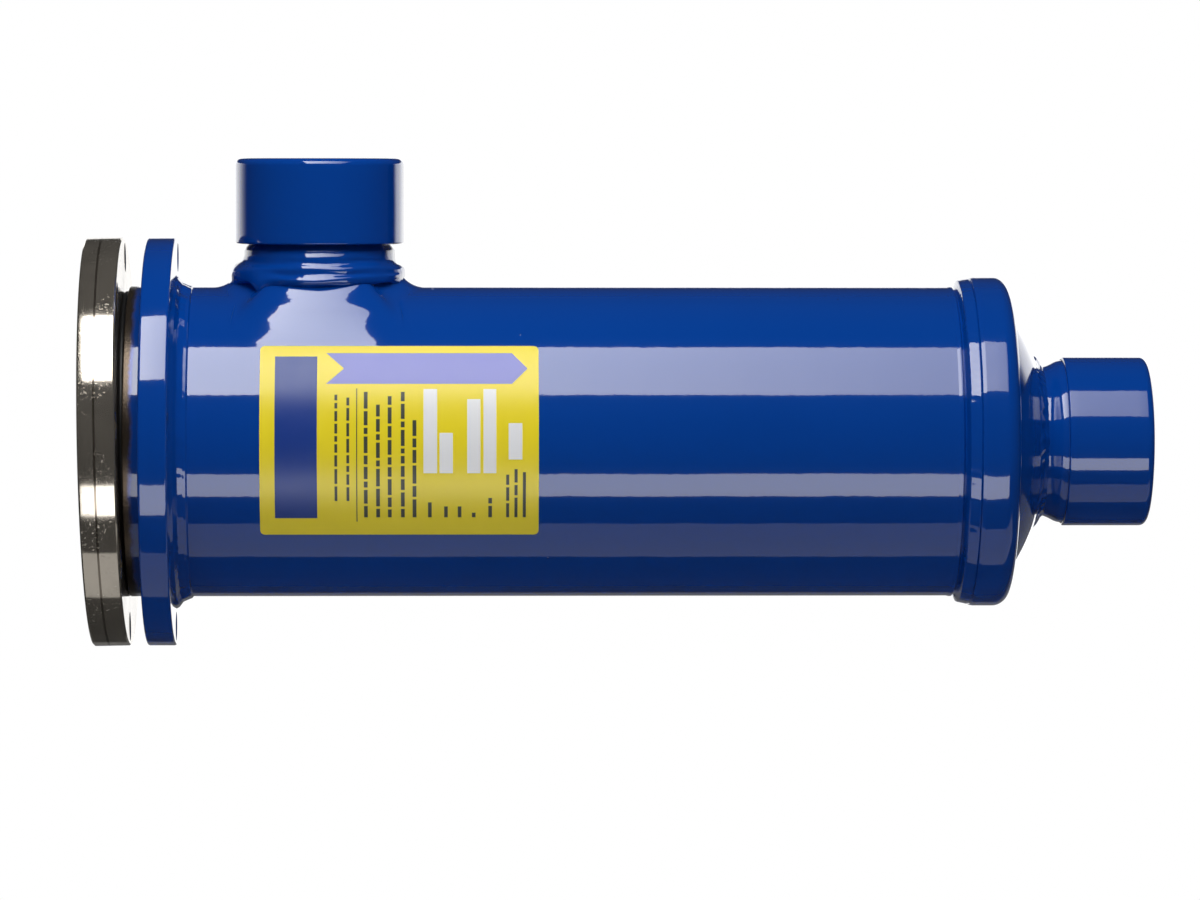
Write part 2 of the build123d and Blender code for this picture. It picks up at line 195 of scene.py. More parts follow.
def through(controls: Array, steps: int) -> Array:
    """Smooth rows of points through rows of controls, as Catmull and Rom's cubic gives them.

    Between controls b and c, with a before and d after, the point at share t is half of
    2b + (c - a) t + (2a - 5b + 4c - d) t^2 + (3b - a - 3c + d) t^3.
    """
    last = len(controls) - 1
    u = np.linspace(0, last, last * steps + 1)
    row = np.minimum(u.astype(int), last - 1)
    t = (u - row).reshape((-1,) + (1,) * (controls.ndim - 1))
    a, b = controls[np.maximum(row - 1, 0)], controls[row]
    c, d = controls[row + 1], controls[np.minimum(row + 2, last)]
    square, cube = 2 * a - 5 * b + 4 * c - d, 3 * b - a - 3 * c + d
    return (2 * b + (c - a) * t + square * t**2 + cube * t**3) / 2


def headings(line: Array) -> Array:
    """Unit directions along a line of points."""
    along = np.gradient(line, axis=0)
    return along / np.linalg.norm(along, axis=1, keepdims=True)


def smooth(share: Array) -> Array:
    """Rise from 0 to 1 that starts and ends level: 3 s^2 - 2 s^3 of the share s, held beyond."""
    s = np.clip(share, 0, 1)
    return s * s * (3 - 2 * s)


def bump_at(angle: Array, degrees: float, width: float) -> Array:
    """A bell of height 1 round one angle, with a width in degrees."""
    away = (angle - math.radians(degrees) + math.pi) % (2 * math.pi) - math.pi
    return np.exp(-((away / math.radians(width)) ** 2))


def piece(
    name: str,
    patches: Sequence[Patch],
    materials: Sequence[Material],
    nodes: Sequence[str] = (),
    body: Body = Body.SHELL,
    sharp: float = 32.0,
) -> Thing:
    """Join patches into one closed mesh, with merged seams and faces that point outwards.

    Args:
        name: the piece's name.
        patches: its surfaces, in millimetres.
        materials: its finishes, in the order of the patches' finish numbers.
        nodes: CAD nodes that it stands for.
        body: the body that it rides on.
        sharp: edges that turn by more degrees than this stay sharp.

    Returns:
        The new object, at the origin.
    """
    offset = 0
    points, quads, finishes = [], [], []
    for patch in patches:
        cells = patch.quads()
        points.append(patch.points.reshape(-1, 3))
        quads.append(cells + offset)
        finishes.append(np.full(len(cells), patch.finish))
        offset += len(points[-1])
    mesh = bpy.data.meshes.new(name)
    corners = np.concatenate(quads)
    mesh.vertices.add(offset)
    mesh.vertices.foreach_set("co", (np.concatenate(points) * MM).astype(np.float32).ravel())
    mesh.loops.add(corners.size)
    mesh.loops.foreach_set("vertex_index", corners.astype(np.int32).ravel())
    mesh.polygons.add(len(corners))
    mesh.polygons.foreach_set("loop_start", np.arange(0, corners.size, 4, dtype=np.int32))
    mesh.polygons.foreach_set("material_index", np.concatenate(finishes).astype(np.int32))
    mesh.update(calc_edges=True)
    work = bmesh.new()
    work.from_mesh(mesh)
    bmesh.ops.remove_doubles(work, verts=work.verts, dist=2e-6)
    bmesh.ops.dissolve_degenerate(work, edges=work.edges, dist=1e-6)
    bmesh.ops.recalc_face_normals(work, faces=work.faces)
    work.to_mesh(mesh)
    work.free()
    mesh.polygons.foreach_set("use_smooth", np.ones(len(mesh.polygons), dtype=bool))
    mesh.set_sharp_from_angle(angle=math.radians(sharp))
    for material in materials:
        mesh.materials.append(material)
    made = bpy.data.objects.new(name, mesh)
    bpy.context.scene.collection.objects.link(made)
    if nodes:
        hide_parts(*nodes)
    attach(made, body.value)
    log.info("%s: %d faces on %s", name, len(mesh.polygons), body.value)
    return made


# ---------------------------------------------------------------- finishes


def linear(red: int, green: int, blue: int) -> Colour:
    """Scene-linear colour of an 8-bit display colour, by the sRGB formula."""
    shares = np.array((red, green, blue)) / 255.0
    values = np.where(shares <= 0.04045, shares / 12.92, ((shares + 0.055) / 1.055) ** 2.4)
    return (*map(float, values), 1.0)


def tinted(colour: Colour, factor: float, added: float = 0.0) -> Colour:
    """A colour times a factor, plus a little white."""
    return (*(min(1.0, c * factor + added) for c in colour[:3]), 1.0)


class Nodes:
    """Short hand for the nodes of one material."""

    def __init__(self, name: str) -> None:
        """Make an empty material with its surface shader and output."""
        self.material = bpy.data.materials.new(name)
        self.material.use_nodes = True
        self.tree = self.material.node_tree
        self.shader = self.tree.nodes["Principled BSDF"]

    def add(self, kind: str, **settings: object) -> bpy.types.Node:
        """Add a node and set its properties."""
        made = self.tree.nodes.new(kind)
        for key, value in settings.items():
            setattr(made, key, value)
        return made

    def feed(self, node: bpy.types.Node, socket: int | str, value: object) -> None:
        """Give an input a link, when the value is a socket, or a plain value."""
        if isinstance(value, Socket):
            self.tree.links.new(value, node.inputs[socket])
        else:
            node.inputs[socket].default_value = value

    def place(self) -> Socket:
        """Object coordinates, in metres."""
        return self.add("ShaderNodeTexCoord").outputs["Object"]

    def math(self, operation: str, *values: object) -> Socket:
        """Result of a maths node."""
        made = self.add("ShaderNodeMath", operation=operation)
        for number, value in enumerate(values):
            self.feed(made, number, value)
        return made.outputs[0]

    def axis(self, letter: str) -> Socket:
        """One Object coordinate."""
        split = self.add("ShaderNodeSeparateXYZ")
        self.feed(split, 0, self.place())
        return split.outputs[letter]

    def stretch(self, scale: Triple) -> Socket:
        """Object coordinates times a scale."""
        mapping = self.add("ShaderNodeMapping")
        self.feed(mapping, "Vector", self.place())
        mapping.inputs["Scale"].default_value = scale
        return mapping.outputs[0]

    def noise(self, scale: float, detail: float = 3.0, rough: float = 0.5, vector: Socket | None = None) -> Socket:
        """Noise value of a texture in Object coordinates, or at another vector."""
        made = self.add("ShaderNodeTexNoise")
        self.feed(made, "Vector", vector or self.place())
        made.inputs["Scale"].default_value = scale
        made.inputs["Detail"].default_value = detail
        made.inputs["Roughness"].default_value = rough
        return made.outputs["Fac"]

    def ramp(self, value: object, low: float, high: float, start: float = 0.0, end: float = 1.0) -> Socket:
        """Value mapped smoothly from low..high to start..end, and held beyond."""
        made = self.add("ShaderNodeMapRange", interpolation_type="SMOOTHSTEP", clamp=True)
        for number, limit in enumerate((value, low, high, start, end)):
            self.feed(made, number, limit)
        return made.outputs[0]

    def mix(self, share: object, first: object, second: object) -> Socket:
        """Mix of two colours."""
        made = self.add("ShaderNodeMix", data_type="RGBA")
        self.feed(made, 0, share)
        self.feed(made, 6, first)
        self.feed(made, 7, second)
        return made.outputs[2]

    def bump(self, height: Socket, strength: float, distance: float, base: Socket | None = None) -> Socket:
        """Normal bent by a height, with the distance in metres."""
        made = self.add("ShaderNodeBump")
        made.inputs["Strength"].default_value = strength
        made.inputs["Distance"].default_value = distance
        self.feed(made, "Height", height)
        if base is not None:
            self.feed(made, "Normal", base)
        return made.outputs[0]

    def set(self, **values: object) -> None:
        """Set or link sockets of the surface shader, with underscores for the blanks in their names."""
        for key, value in values.items():
            self.feed(self.shader, key.replace("_", " "), value)

    def show(self, surface: Socket) -> None:
        """Link another shader to the material's output."""
        self.feed(self.tree.nodes["Material Output"], "Surface", surface)


@dataclass(frozen=True)
class PowderCoat:
    """Glossy powder coat: slight orange peel, a few nibs of dust, and bare steel where a masked end begins.

    Scales are in cells per metre; the heights of the bumps, and the reach and unevenness of the masked edge, are in
    metres. The paint begins at the X given by bare_below, in millimetres.
    """

    name: str
    colour: Colour
    bare: Colour = linear(104, 92, 80)
    bare_below: float | None = None
    peel: float = 0.05
    wave: float = 0.10
    nibs: bool = True
    tone_scale: float = 9.0
    peel_scale: float = 420.0
    peel_height: float = 0.0002
    wave_scale: float = 60.0
    wave_height: float = 0.0006
    nib_scale: float = 95.0
    nib_from: float = 0.86
    nib_size: float = 0.05
    nib_height: float = 0.0004
    edge_scale: float = 70.0
    edge_waver: float = 0.0006
    edge_reach: float = 0.0013
    pit_scale: float = 900.0
    pit_height: float = 0.00004

    def dusted(self, n: Nodes, base: Socket) -> Socket:
        """The normal with a nib in the middle of a few cells, picked by the cells' random colour."""
        cells = n.add("ShaderNodeTexVoronoi", feature="F1")
        n.feed(cells, "Vector", n.place())
        n.feed(cells, "Scale", self.nib_scale)
        pick = n.add("ShaderNodeSeparateColor")
        n.feed(pick, 0, cells.outputs["Color"])
        chosen = n.math("GREATER_THAN", pick.outputs[0], self.nib_from)
        nib = n.math("MULTIPLY", n.ramp(cells.outputs["Distance"], 0.0, self.nib_size, 1.0, 0.0), chosen)
        return n.bump(nib, 0.8, self.nib_height, base)

    def masked(self, n: Nodes, start: float, colour: Socket, normal: Socket) -> None:
        """Change to pitted bare steel below a place along X, in metres, with an uneven edge."""
        pits = n.noise(self.pit_scale, 3.0, 0.7)
        waver = n.ramp(n.noise(self.edge_scale, 5.0, 0.75), 0.3, 0.7, -self.edge_waver, self.edge_waver)
        painted = n.ramp(n.math("ADD", n.axis("X"), waver), start - self.edge_reach, start + self.edge_reach)
        metal = n.mix(pits, self.bare, tinted(self.bare, 0.4))
        height = n.math("MULTIPLY", n.ramp(pits, 0.35, 0.65), n.ramp(painted, 0.0, 1.0, 1.0, 0.0))
        n.set(Base_Color=n.mix(painted, metal, colour), Roughness=n.ramp(painted, 0.0, 1.0, 0.26, 0.12))
        n.set(Metallic=n.ramp(painted, 0.0, 1.0, 0.8, 0.0), Coat_Weight=painted)
        n.set(Normal=n.bump(height, 0.7, self.pit_height, normal))

    def material(self) -> Material:
        """The finish as a material."""
        n = Nodes(self.name)
        colour = n.mix(n.noise(self.tone_scale, 2.0), tinted(self.colour, 0.93), tinted(self.colour, 1.07, 0.0015))
        peel = n.bump(n.noise(self.peel_scale, 2.0), self.peel, self.peel_height)
        normal = n.bump(n.noise(self.wave_scale, 1.0), self.wave, self.wave_height, peel)
        if self.nibs:
            normal = self.dusted(n, normal)
        n.set(Normal=normal, Coat_Normal=normal, IOR=1.5, Specular_IOR_Level=0.12)
        n.set(Coat_Weight=1.0, Coat_Roughness=0.03, Coat_IOR=1.62)
        if self.bare_below is None:
            n.set(Base_Color=colour, Roughness=n.ramp(n.noise(30.0, 3.0), 0.3, 0.7, 0.10, 0.15))
        else:
            self.masked(n, self.bare_below * MM, colour, normal)
        return n.material


@dataclass(frozen=True)
class TurnedSteel:
    """Bare turned steel: fine tool lines round the axis, faint marks of handling, and a dull film in patches."""

    name: str
    colour: Colour = linear(214, 205, 191)
    roughness: float = 0.07
    lines: float = 0.12
    metallic: float = 0.9
    specks: float = 0.3
    film_scale: float = 55.0
    speck_scale: float = 1100.0
    smear_scale: float = 38.0
    speck_height: float = 0.0001
    line_height: float = 0.00004
    line_stretch: Triple = (1500.0, 6.0, 6.0)

    def material(self) -> Material:
        """The finish as a material."""
        n = Nodes(self.name)
        film = n.noise(self.film_scale, 4.0)
        n.set(Base_Color=n.mix(n.ramp(film, 0.35, 0.75), self.colour, tinted(self.colour, 0.82)))
        specks = n.ramp(n.noise(self.speck_scale, 3.0, 0.7), 0.60, 0.72)
        smear = n.math("MULTIPLY", specks, n.ramp(n.noise(self.smear_scale, 3.0), 0.42, 0.62))
        rough = n.ramp(film, 0.3, 0.75, self.roughness, self.roughness * 1.7)
        n.set(Metallic=self.metallic, Roughness=n.math("ADD", rough, n.math("MULTIPLY", smear, self.specks)))
        tool = n.bump(n.noise(1.0, 2.0, 0.7, n.stretch(self.line_stretch)), self.lines, self.line_height)
        n.set(Normal=n.bump(smear, self.specks, self.speck_height, tool))
        return n.material


@dataclass(frozen=True)
class PlainFinish:
    """Even finish with a small variation of its colour and a fine grain."""

    name: str
    colour: Colour
    roughness: float = 0.5
    metallic: float = 0.0
    grain_scale: float = 400.0
    grain: float = 0.1
    depth: float = 0.0002
    variation: float = 0.15

    def material(self) -> Material:
        """The finish as a material."""
        n = Nodes(self.name)
        shade = n.noise(self.grain_scale / 4, 4.0)
        colour = n.mix(shade, tinted(self.colour, 1 - self.variation), self.colour)
        n.set(Base_Color=colour, Metallic=self.metallic)
        n.set(Roughness=n.ramp(shade, 0.2, 0.8, self.roughness * 0.9, min(1.0, self.roughness * 1.1)))
        n.set(Normal=n.bump(n.noise(self.grain_scale, 4.0), self.grain, self.depth))
        return n.material


# ---------------------------------------------------------------- the finishes of this object

BLUE = linear(0, 62, 150)


def printed(name: str, colour: Colour, roughness: float = 0.32, variation: float = 0.02) -> PlainFinish:
    """Finish of one printed colour of the label."""
    return PlainFinish(name, colour, roughness, 0.0, 900.0, 0.03, 0.0001, variation)


@dataclass(frozen=True)
class Finishes:
    """Every finish of the part, made once."""

    paint: PowderCoat = PowderCoat("blue_powder_coat", BLUE)
    paint_smooth: PowderCoat = PowderCoat("blue_powder_coat_plain", BLUE, nibs=False)
    cap_paint: PowderCoat = PowderCoat("blue_powder_coat_cap", BLUE, wave=0.3)
    tube_paint: PowderCoat = PowderCoat("blue_powder_coat_tube", BLUE, bare_below=-372.5)
    cover: TurnedSteel = TurnedSteel("turned_cover_steel")
    # Darker steel for the flat band on the cover's rim: painted shade of a shallow turned groove.
    cover_groove_shade: TurnedSteel = TurnedSteel("turned_steel_painted_groove_shade", linear(140, 130, 118))
    seam: PlainFinish = PlainFinish("bare_seam_steel", linear(92, 74, 58), 0.5, 0.7, 300.0, 0.2)
    bore: TurnedSteel = TurnedSteel("turned_bore_steel", linear(150, 142, 132), 0.3, 0.2)
    plated: PlainFinish = PlainFinish("plated_pressed_steel", linear(188, 186, 178), 0.3, 1.0, 300.0, 0.12)
    strainer: PlainFinish = PlainFinish("plated_strainer_steel", linear(172, 172, 168), 0.34, 1.0, 500.0, 0.1)
    spring: PlainFinish = PlainFinish("drawn_spring_steel", linear(120, 120, 122), 0.34, 1.0, 600.0, 0.1)
    core: PlainFinish = PlainFinish("moulded_desiccant", linear(214, 206, 190), 0.9, 0.0, 700.0, 0.8, 0.0006, 0.12)
    felt: PlainFinish = PlainFinish("pressed_felt", linear(206, 200, 186), 1.0, 0.0, 900.0, 1.0, 0.0008, 0.2)
    gasket: PlainFinish = PlainFinish("gasket_sheet", linear(84, 104, 88), 0.8, 0.0, 600.0, 0.3)
    seal: PlainFinish = PlainFinish("black_seal_rubber", linear(26, 26, 27), 0.45, 0.0, 500.0, 0.15)
    sheet: PlainFinish = printed("label_yellow_print", linear(242, 221, 36))
    arrow: PlainFinish = printed("label_arrow_print", linear(128, 132, 206))
    block: PlainFinish = printed("label_block_print", linear(24, 58, 140))
    white: PlainFinish = printed("label_white_print", linear(238, 239, 242), variation=0.01)
    ink: PlainFinish = printed("label_ink_print", linear(60, 66, 60), 0.36)


# ---------------------------------------------------------------- shell


@dataclass
class ShellTube:
    """Shell tube with the collar drawn out of its wall for the inlet branch."""

    left: float = -375.423
    right: float = -58.423
    outer: float = 57.15
    wall: float = 3.6
    end_break: float = 0.9
    end_round: float = 0.6
    end_chamfer: float = 2.4
    groove_left: float = -72.323
    groove_width: float = 2.0
    groove_depth: float = 0.85
    groove_lip: float = 0.22
    inlet_x: float = -305.823
    collar_radius: float = 29.0
    collar_bore: float = 24.6
    collar_top: float = 62.05
    blend: float = 9.7
    front_blend: float = 86.0
    front_power: float = 8.0
    draws: tuple[Quad, ...] = ((3.0, 2.22, 49.28, 11.92), (1.9, 3.84, 38.15, 15.84))
    half_length: float = 48.0
    half_turn: int = 60
    count: int = 360
    outer_rows: tuple[int, int] = (30, 14)
    inner_rows: tuple[int, int] = (12, 6)

    def swell(self, a: Array) -> Array:
        """How much the ball's radius grows towards the front and back: with a high power of the sine."""
        return (self.front_blend - self.blend) * np.abs(np.sin(a)) ** self.front_power

    def squeeze(self, a: Array, z: Array) -> Array:
        """How far the collar draws in again above the swell, in two steps that rise smoothly with height.

        Each step is its depth, times a power of the sine of a, times 3 s^2 - 2 s^3 of the share s of its height.
        """
        total = 0 * a * z
        for depth, power, start, rise in self.draws:
            total = total + depth * np.abs(np.sin(a)) ** power * smooth((z - start) / rise)
        return total

    def saddle(
        self, radius: float, branch: float, blend: float, rows: int
    ) -> tuple[Array, Array, Array]:
        """Blend between a cylinder about X and an upright branch, as a ball would roll round the corner.

        The ball's centre is at blend from both, above angle a of the branch. A point of the blend is the centre plus
        blend times the turn from the direction of its touch on the cylinder to that of its touch on the branch, cut
        off at the collar's top.

        Args:
            radius: the cylinder's radius.
            branch: the branch's radius.
            blend: the ball's radius at the branch's left and right, before it grows to the front and back.
            rows: steps along the blend.

        Returns:
            The blend's points, and the place along X and the angle about X of its edge on the cylinder.
        """
        a = turns(self.count)
        blend = blend + self.swell(a)
        reach = branch + blend
        height = np.sqrt((radius + blend) ** 2 - (reach * np.sin(a)) ** 2)
        centre = np.stack((reach * np.cos(a), reach * np.sin(a), height), -1)
        down = -np.stack((0 * a, centre[:, 1], height), -1) / (radius + blend)[:, None]
        inward = -np.stack((np.cos(a), np.sin(a), 0 * a), -1)
        turn = np.arccos(np.sum(down * inward, -1))
        rise = (height - self.collar_top) * np.sin(turn) / (-blend * down[:, 2])
        end = np.where(rise > 0, 1 - np.arcsin(np.clip(rise, 0, 1)) / turn, 1.0)
        t = np.linspace(0, 1, rows)[:, None] * end
        first = (np.sin((1 - t) * turn) / np.sin(turn))[..., None] * down
        second = (np.sin(t * turn) / np.sin(turn))[..., None] * inward
        arc = centre + blend[:, None] * (first + second)
        arc = arc + self.squeeze(a, arc[..., 2])[..., None] * inward
        top = arc[-1:].copy()
        top[..., 2] = self.collar_top
        points = np.concatenate((arc, top))
        points[..., 0] += self.inlet_x
        foot = arc[0]
        return points, foot[:, 0] + self.inlet_x, np.arctan2(foot[:, 1], foot[:, 2])

    def frame_round(self, radius: float, foot_x: Array, foot_angle: Array, rows: int) -> Array:
        """Part of the cylinder between the blend's foot and a rectangle of its own length and turn.

        Each point goes evenly from the foot's curve to the rectangle's edge, both read as (x, angle), and is then
        laid on the cylinder.
        """
        side = 2 * self.half_turn
        across = (self.count - 2 * side) // 2
        up = np.linspace(-1, 1, side + 1)[:-1]
        along = np.linspace(1, -1, across + 1)[:-1]
        x = np.concatenate((np.ones(side), along, -np.ones(side), -along)) * self.half_length + self.inlet_x
        angle = np.concatenate((up, np.ones(across), -up, -np.ones(across))) * math.radians(self.half_turn)
        x, angle = np.roll(x, -self.half_turn), np.roll(angle, -self.half_turn)
        share = np.linspace(0, 1, rows)[:, None]
        px = foot_x * (1 - share) + x * share
        pa = foot_angle * (1 - share) + angle * share
        return polar(px, radius, pa)

    def rest(self, radius: float, left: Array, right: Array, finish: int) -> list[Patch]:
        """The cylinder outside that rectangle: two whole ends, each an outline turned about X, and the lower part."""
        angles = turns(self.count)
        across = (self.count - 4 * self.half_turn) // 2
        along = np.linspace(-1, 1, across + 1) * self.half_length + self.inlet_x
        lower = np.radians(np.linspace(self.half_turn, 360 - self.half_turn, 360 - 2 * self.half_turn + 1))
        strip = np.stack((along, np.full_like(along, radius)), -1)
        whole = [Patch(about_x(end, angles), wrap_v=True, finish=finish) for end in (left, right)]
        return whole + [Patch(about_x(strip, lower), finish=finish)]

    def wall_surface(
        self,
        depth: float,
        branch: float,
        ends: tuple[Array, Array],
        finish: int,
        rows: tuple[int, int],
    ) -> tuple[list[Patch], Array]:
        """One whole side of the wall, and the curve at the collar's top.

        Args:
            depth: how far this side lies under the tube's outside.
            branch: the collar's radius on this side.
            ends: outlines of the two whole ends.
            finish: finish number.
            rows: steps along the blend, and along the part between it and its rectangle.

        Returns:
            The side's patches, and its curve at the collar's top.
        """
        radius, (left, right) = self.outer - depth, ends
        saddle, foot_x, foot_angle = self.saddle(radius, branch, self.blend + depth, rows[0])
        frame_part = self.frame_round(radius, foot_x, foot_angle, rows[1])
        patches = [Patch(points, wrap_v=True, finish=finish) for points in (saddle, frame_part)]
        return patches + self.rest(radius, left, right, finish), saddle[-1]

    def build(self, paint: Material, bore: Material) -> Thing:
        """Both sides of the wall, the collar's top and the ends."""
        inner, outer = self.outer - self.wall, self.outer
        near, far = self.inlet_x - self.half_length, self.inlet_x + self.half_length
        start, stop = self.groove_left, self.groove_left + self.groove_width
        low, lip = outer - self.groove_depth, outer + self.groove_lip
        left = rounded(((self.left, outer - self.end_break, 0), (self.left, outer, self.end_round), (near, outer, 0)))
        right = rounded(
            (
                (far, outer, 0), (start - 1.9, outer, 0.6), (start - 0.9, lip, 0.5), (start - 0.3, lip, 0.3),
                (start + 0.4, low, 0.4), (stop - 0.3, low, 0.3), (stop, outer, 0), (self.right, outer, 0),
            )
        )
        bevel = inner + self.end_chamfer
        in_left = np.array(((self.left, bevel), (self.left + self.end_chamfer, inner), (near, inner)))
        in_right = np.array(((far, inner), (self.right, inner)))
        outlines, inlines = (fine(left, 3.0), fine(right, 5.0)), (fine(in_left, 12.0), fine(in_right, 12.0))
        outside, rim = self.wall_surface(0.0, self.collar_radius, outlines, 0, self.outer_rows)
        inside, hole = self.wall_surface(self.wall, self.collar_bore, inlines, 1, self.inner_rows)
        ends = [
            Patch(np.stack((rim, hole)), wrap_v=True, finish=1),
            lathe(np.array(((self.left, outer - self.end_break), (self.left, bevel))), 1, self.count),
            lathe(np.array(((self.right, outer), (self.right, inner))), 1, self.count),
        ]
        return piece("shell_tube_drawn", outside + inside + ends, (paint, bore), ("shell_tube",))


@dataclass
class HoleCircle:
    """Flat ring with a circle of bolt holes, as one mesh with its two faces, rim and hole walls.

    Each hole has an equal share of the ring. Its circle and the edge of its share have eight times side points.
    """

    left: float
    right: float
    inner: float
    outer: float
    rounding: float
    hole_circle: float = 68.3
    hole: float = 5.0
    holes: int = 8
    start: float = 7.8
    hole_edge: float = 0.35
    side: int = 14
    rows: int = 7

    def middles(self) -> Array:
        """Angles of the holes from the top."""
        return np.radians(-90 + self.start + 360 / self.holes * np.arange(self.holes))

    def side_steps(self) -> Array:
        """Places along one side of a share, from -1 to 1 without the last."""
        return np.linspace(-1, 1, 2 * self.side + 1)[:-1]

    def hole_ring(self, middle: float, radius: float) -> Array:
        """Circle (y, z) of a radius round the middle of the hole at an angle."""
        turn = turns(8 * self.side)[:, None] - math.pi / 4
        radial = np.array((math.sin(middle), math.cos(middle)))
        across = np.array((math.cos(middle), -math.sin(middle)))
        return radial * self.hole_circle + radius * (np.cos(turn) * radial + np.sin(turn) * across)

    def face(self, x: float, sign: float) -> list[Patch]:
        """One flat face: in each share of the ring, points go evenly from the hole's edge to the share's edge."""
        along = self.side_steps()
        ones, share = np.ones_like(along), np.linspace(0, 1, self.rows)[:, None, None]
        outer = self.outer - self.rounding
        radius = (self.inner + outer) / 2 + (outer - self.inner) / 2 * np.concatenate((ones, -along, -ones, along))
        turn = math.pi / self.holes * np.concatenate((along, ones, -along, -ones))
        patches = []
        for middle in self.middles():
            edge = np.stack((radius * np.sin(turn + middle), radius * np.cos(turn + middle)), -1)
            flat = self.hole_ring(middle, self.hole + self.hole_edge) * (1 - share) + edge * share
            bevel = at_x(x - sign * self.hole_edge, self.hole_ring(middle, self.hole))
            patches.append(Patch(np.concatenate((bevel[None], at_x(x, flat))), wrap_v=True))
        return patches

    def drilled(self) -> list[Patch]:
        """Both faces, and the walls of the holes between the broken edges of the two."""
        ends = (self.left + self.hole_edge, self.right - self.hole_edge)
        walls = [
            Patch(np.stack([at_x(x, self.hole_ring(middle, self.hole)) for x in ends]), wrap_v=True)
            for middle in self.middles()
        ]
        return self.face(self.left, -1) + self.face(self.right, 1) + walls

    def rim(self, outline: Array, finish: int = 0) -> Patch:
        """An outline turned about X at the angles of the faces' outer points, so that it joins them."""
        angles = (self.middles()[:, None] + self.side_steps() * math.pi / self.holes).ravel()
        return Patch(about_x(outline, angles), wrap_v=True, finish=finish)


@dataclass
class FlangeRing(HoleCircle):
    """Painted flange ring, welded on the tube a little behind its end."""

    left: float = -368.823
    right: float = -358.323
    inner: float = 57.3
    outer: float = 75.25
    rounding: float = 0.9

    def build(self, paint: Material) -> Thing:
        """Faces, hole walls, the rim with its two rounded edges, and the bore."""
        low, turn = self.outer - self.rounding, self.rounding * 0.98
        rim = ((self.left, low, 0), (self.left, self.outer, turn), (self.right, self.outer, turn), (self.right, low, 0))
        bore = np.array(((self.left, self.inner), (self.right, self.inner)))
        patches = self.drilled() + [self.rim(rounded(rim, 6)), self.rim(bore)]
        return piece("flange_ring_painted", patches, (paint,), ("flange_ring",))


@dataclass
class CoverPlate(HoleCircle):
    """Bare turned cover with its spigot and spring pocket.

    The pocket is about half a millimetre deeper than the CAD model's, so that the leaning cover clears the spring.
    """

    left: float = -390.023
    right: float = -376.523
    inner: float = 53.3
    outer: float = 75.25
    rounding: float = 0.6
    spigot_end: float = -370.923
    pocket_radius: float = 32.0
    pocket_floor: float = -372.963
    # Place and width of the flat band of painted groove shade on the rim.
    shade_line_from_left: float = 6.1
    shade_line_width: float = 0.8
    seal_section: float = 1.05
    seal_play: float = 0.04
    lean: float = 1.06
    settle: float = 1.0
    tube_radius: float = 57.15
    chamfer_sum: float = -319.473

    def leaned(self, patch: Patch) -> Patch:
        """The patch as a loose cover hangs: turned a little about the seat's lowest point, and up to the tube's end."""
        pivot, turn = np.array((self.right, 0.0, -self.tube_radius)), math.radians(self.lean)
        away = patch.points - pivot
        x = away[..., 0] * math.cos(turn) - away[..., 2] * math.sin(turn)
        z = away[..., 0] * math.sin(turn) + away[..., 2] * math.cos(turn)
        return patch.at(np.stack((x + self.settle, away[..., 1], z), -1) + pivot)

    def rim_with_painted_shade(self) -> list[Patch]:
        """The rim with broken edges, and a narrow flat band of darker steel: painted shade where the tool left a
        shallow groove.
        """
        b, middle, half = self.rounding, self.left + self.shade_line_from_left, self.shade_line_width / 2
        start, stop = (middle - half, self.outer, 0), (middle + half, self.outer, 0)
        left = ((self.left, self.outer - b, 0), (self.left + b, self.outer, 0.15), start)
        right = (stop, (self.right - b, self.outer, 0.15), (self.right, self.outer - b, 0))
        return [self.rim(rounded(part, 3), finish) for part, finish in ((left, 0), ((start, stop), 1), (right, 0))]

    def seal(self, rubber: Material) -> Thing:
        """Seal ring in the corner of face and spigot, which leans with the cover and is squeezed at the bottom.

        The room between face, spigot and the tube's chamfer is a right triangle with equal legs, and the ring's radius
        is at most that of its inscribed circle, a leg times one less the root of a half. On the chamfer, X plus the
        radius is chamfer_sum, so a leg is that sum less the spigot's radius and the face's X.
        """
        turn, around = turns(32)[:, None], turns(360)
        from_pivot = self.tube_radius + self.inner * np.cos(around)
        face = self.right + self.settle - from_pivot * math.tan(math.radians(self.lean))
        leg = self.chamfer_sum - self.inner - face
        section = np.minimum(self.seal_section, leg * (1 - math.sqrt(0.5)) - self.seal_play)
        x, r = self.right + section * (1 + np.cos(turn)), self.inner + section * (1 + np.sin(turn))
        ring = Patch(polar(x, r, around), wrap_u=True, wrap_v=True)
        return piece("cover_seal_ring", (self.leaned(ring),), (rubber,), ("cover_seal",), Body.COVER)

    # The second finish is the darker steel of the painted groove shade on the rim.
    def build(self, steel: Material, line: Material) -> Thing:
        """Faces, rim, hole walls, spigot, pocket and the plain middle of the outer face."""
        end, floor, pocket = self.spigot_end, self.pocket_floor, self.pocket_radius
        corner = (self.right, self.inner, 0)
        spigot = rounded((corner, (end, self.inner, 0.5), (end, pocket, 0.3), (floor, pocket, 0.3), (floor, 0, 0)))
        outside = np.array(((self.left, self.inner), (self.left, 0.0)))
        patches = self.drilled() + self.rim_with_painted_shade() + [self.rim(fine(spigot, 8.0)), self.rim(fine(outside, 12.0))]
        patches = [self.leaned(patch) for patch in patches]
        return piece("cover_plate_turned", patches, (steel, line), ("cover_plate",), Body.COVER)


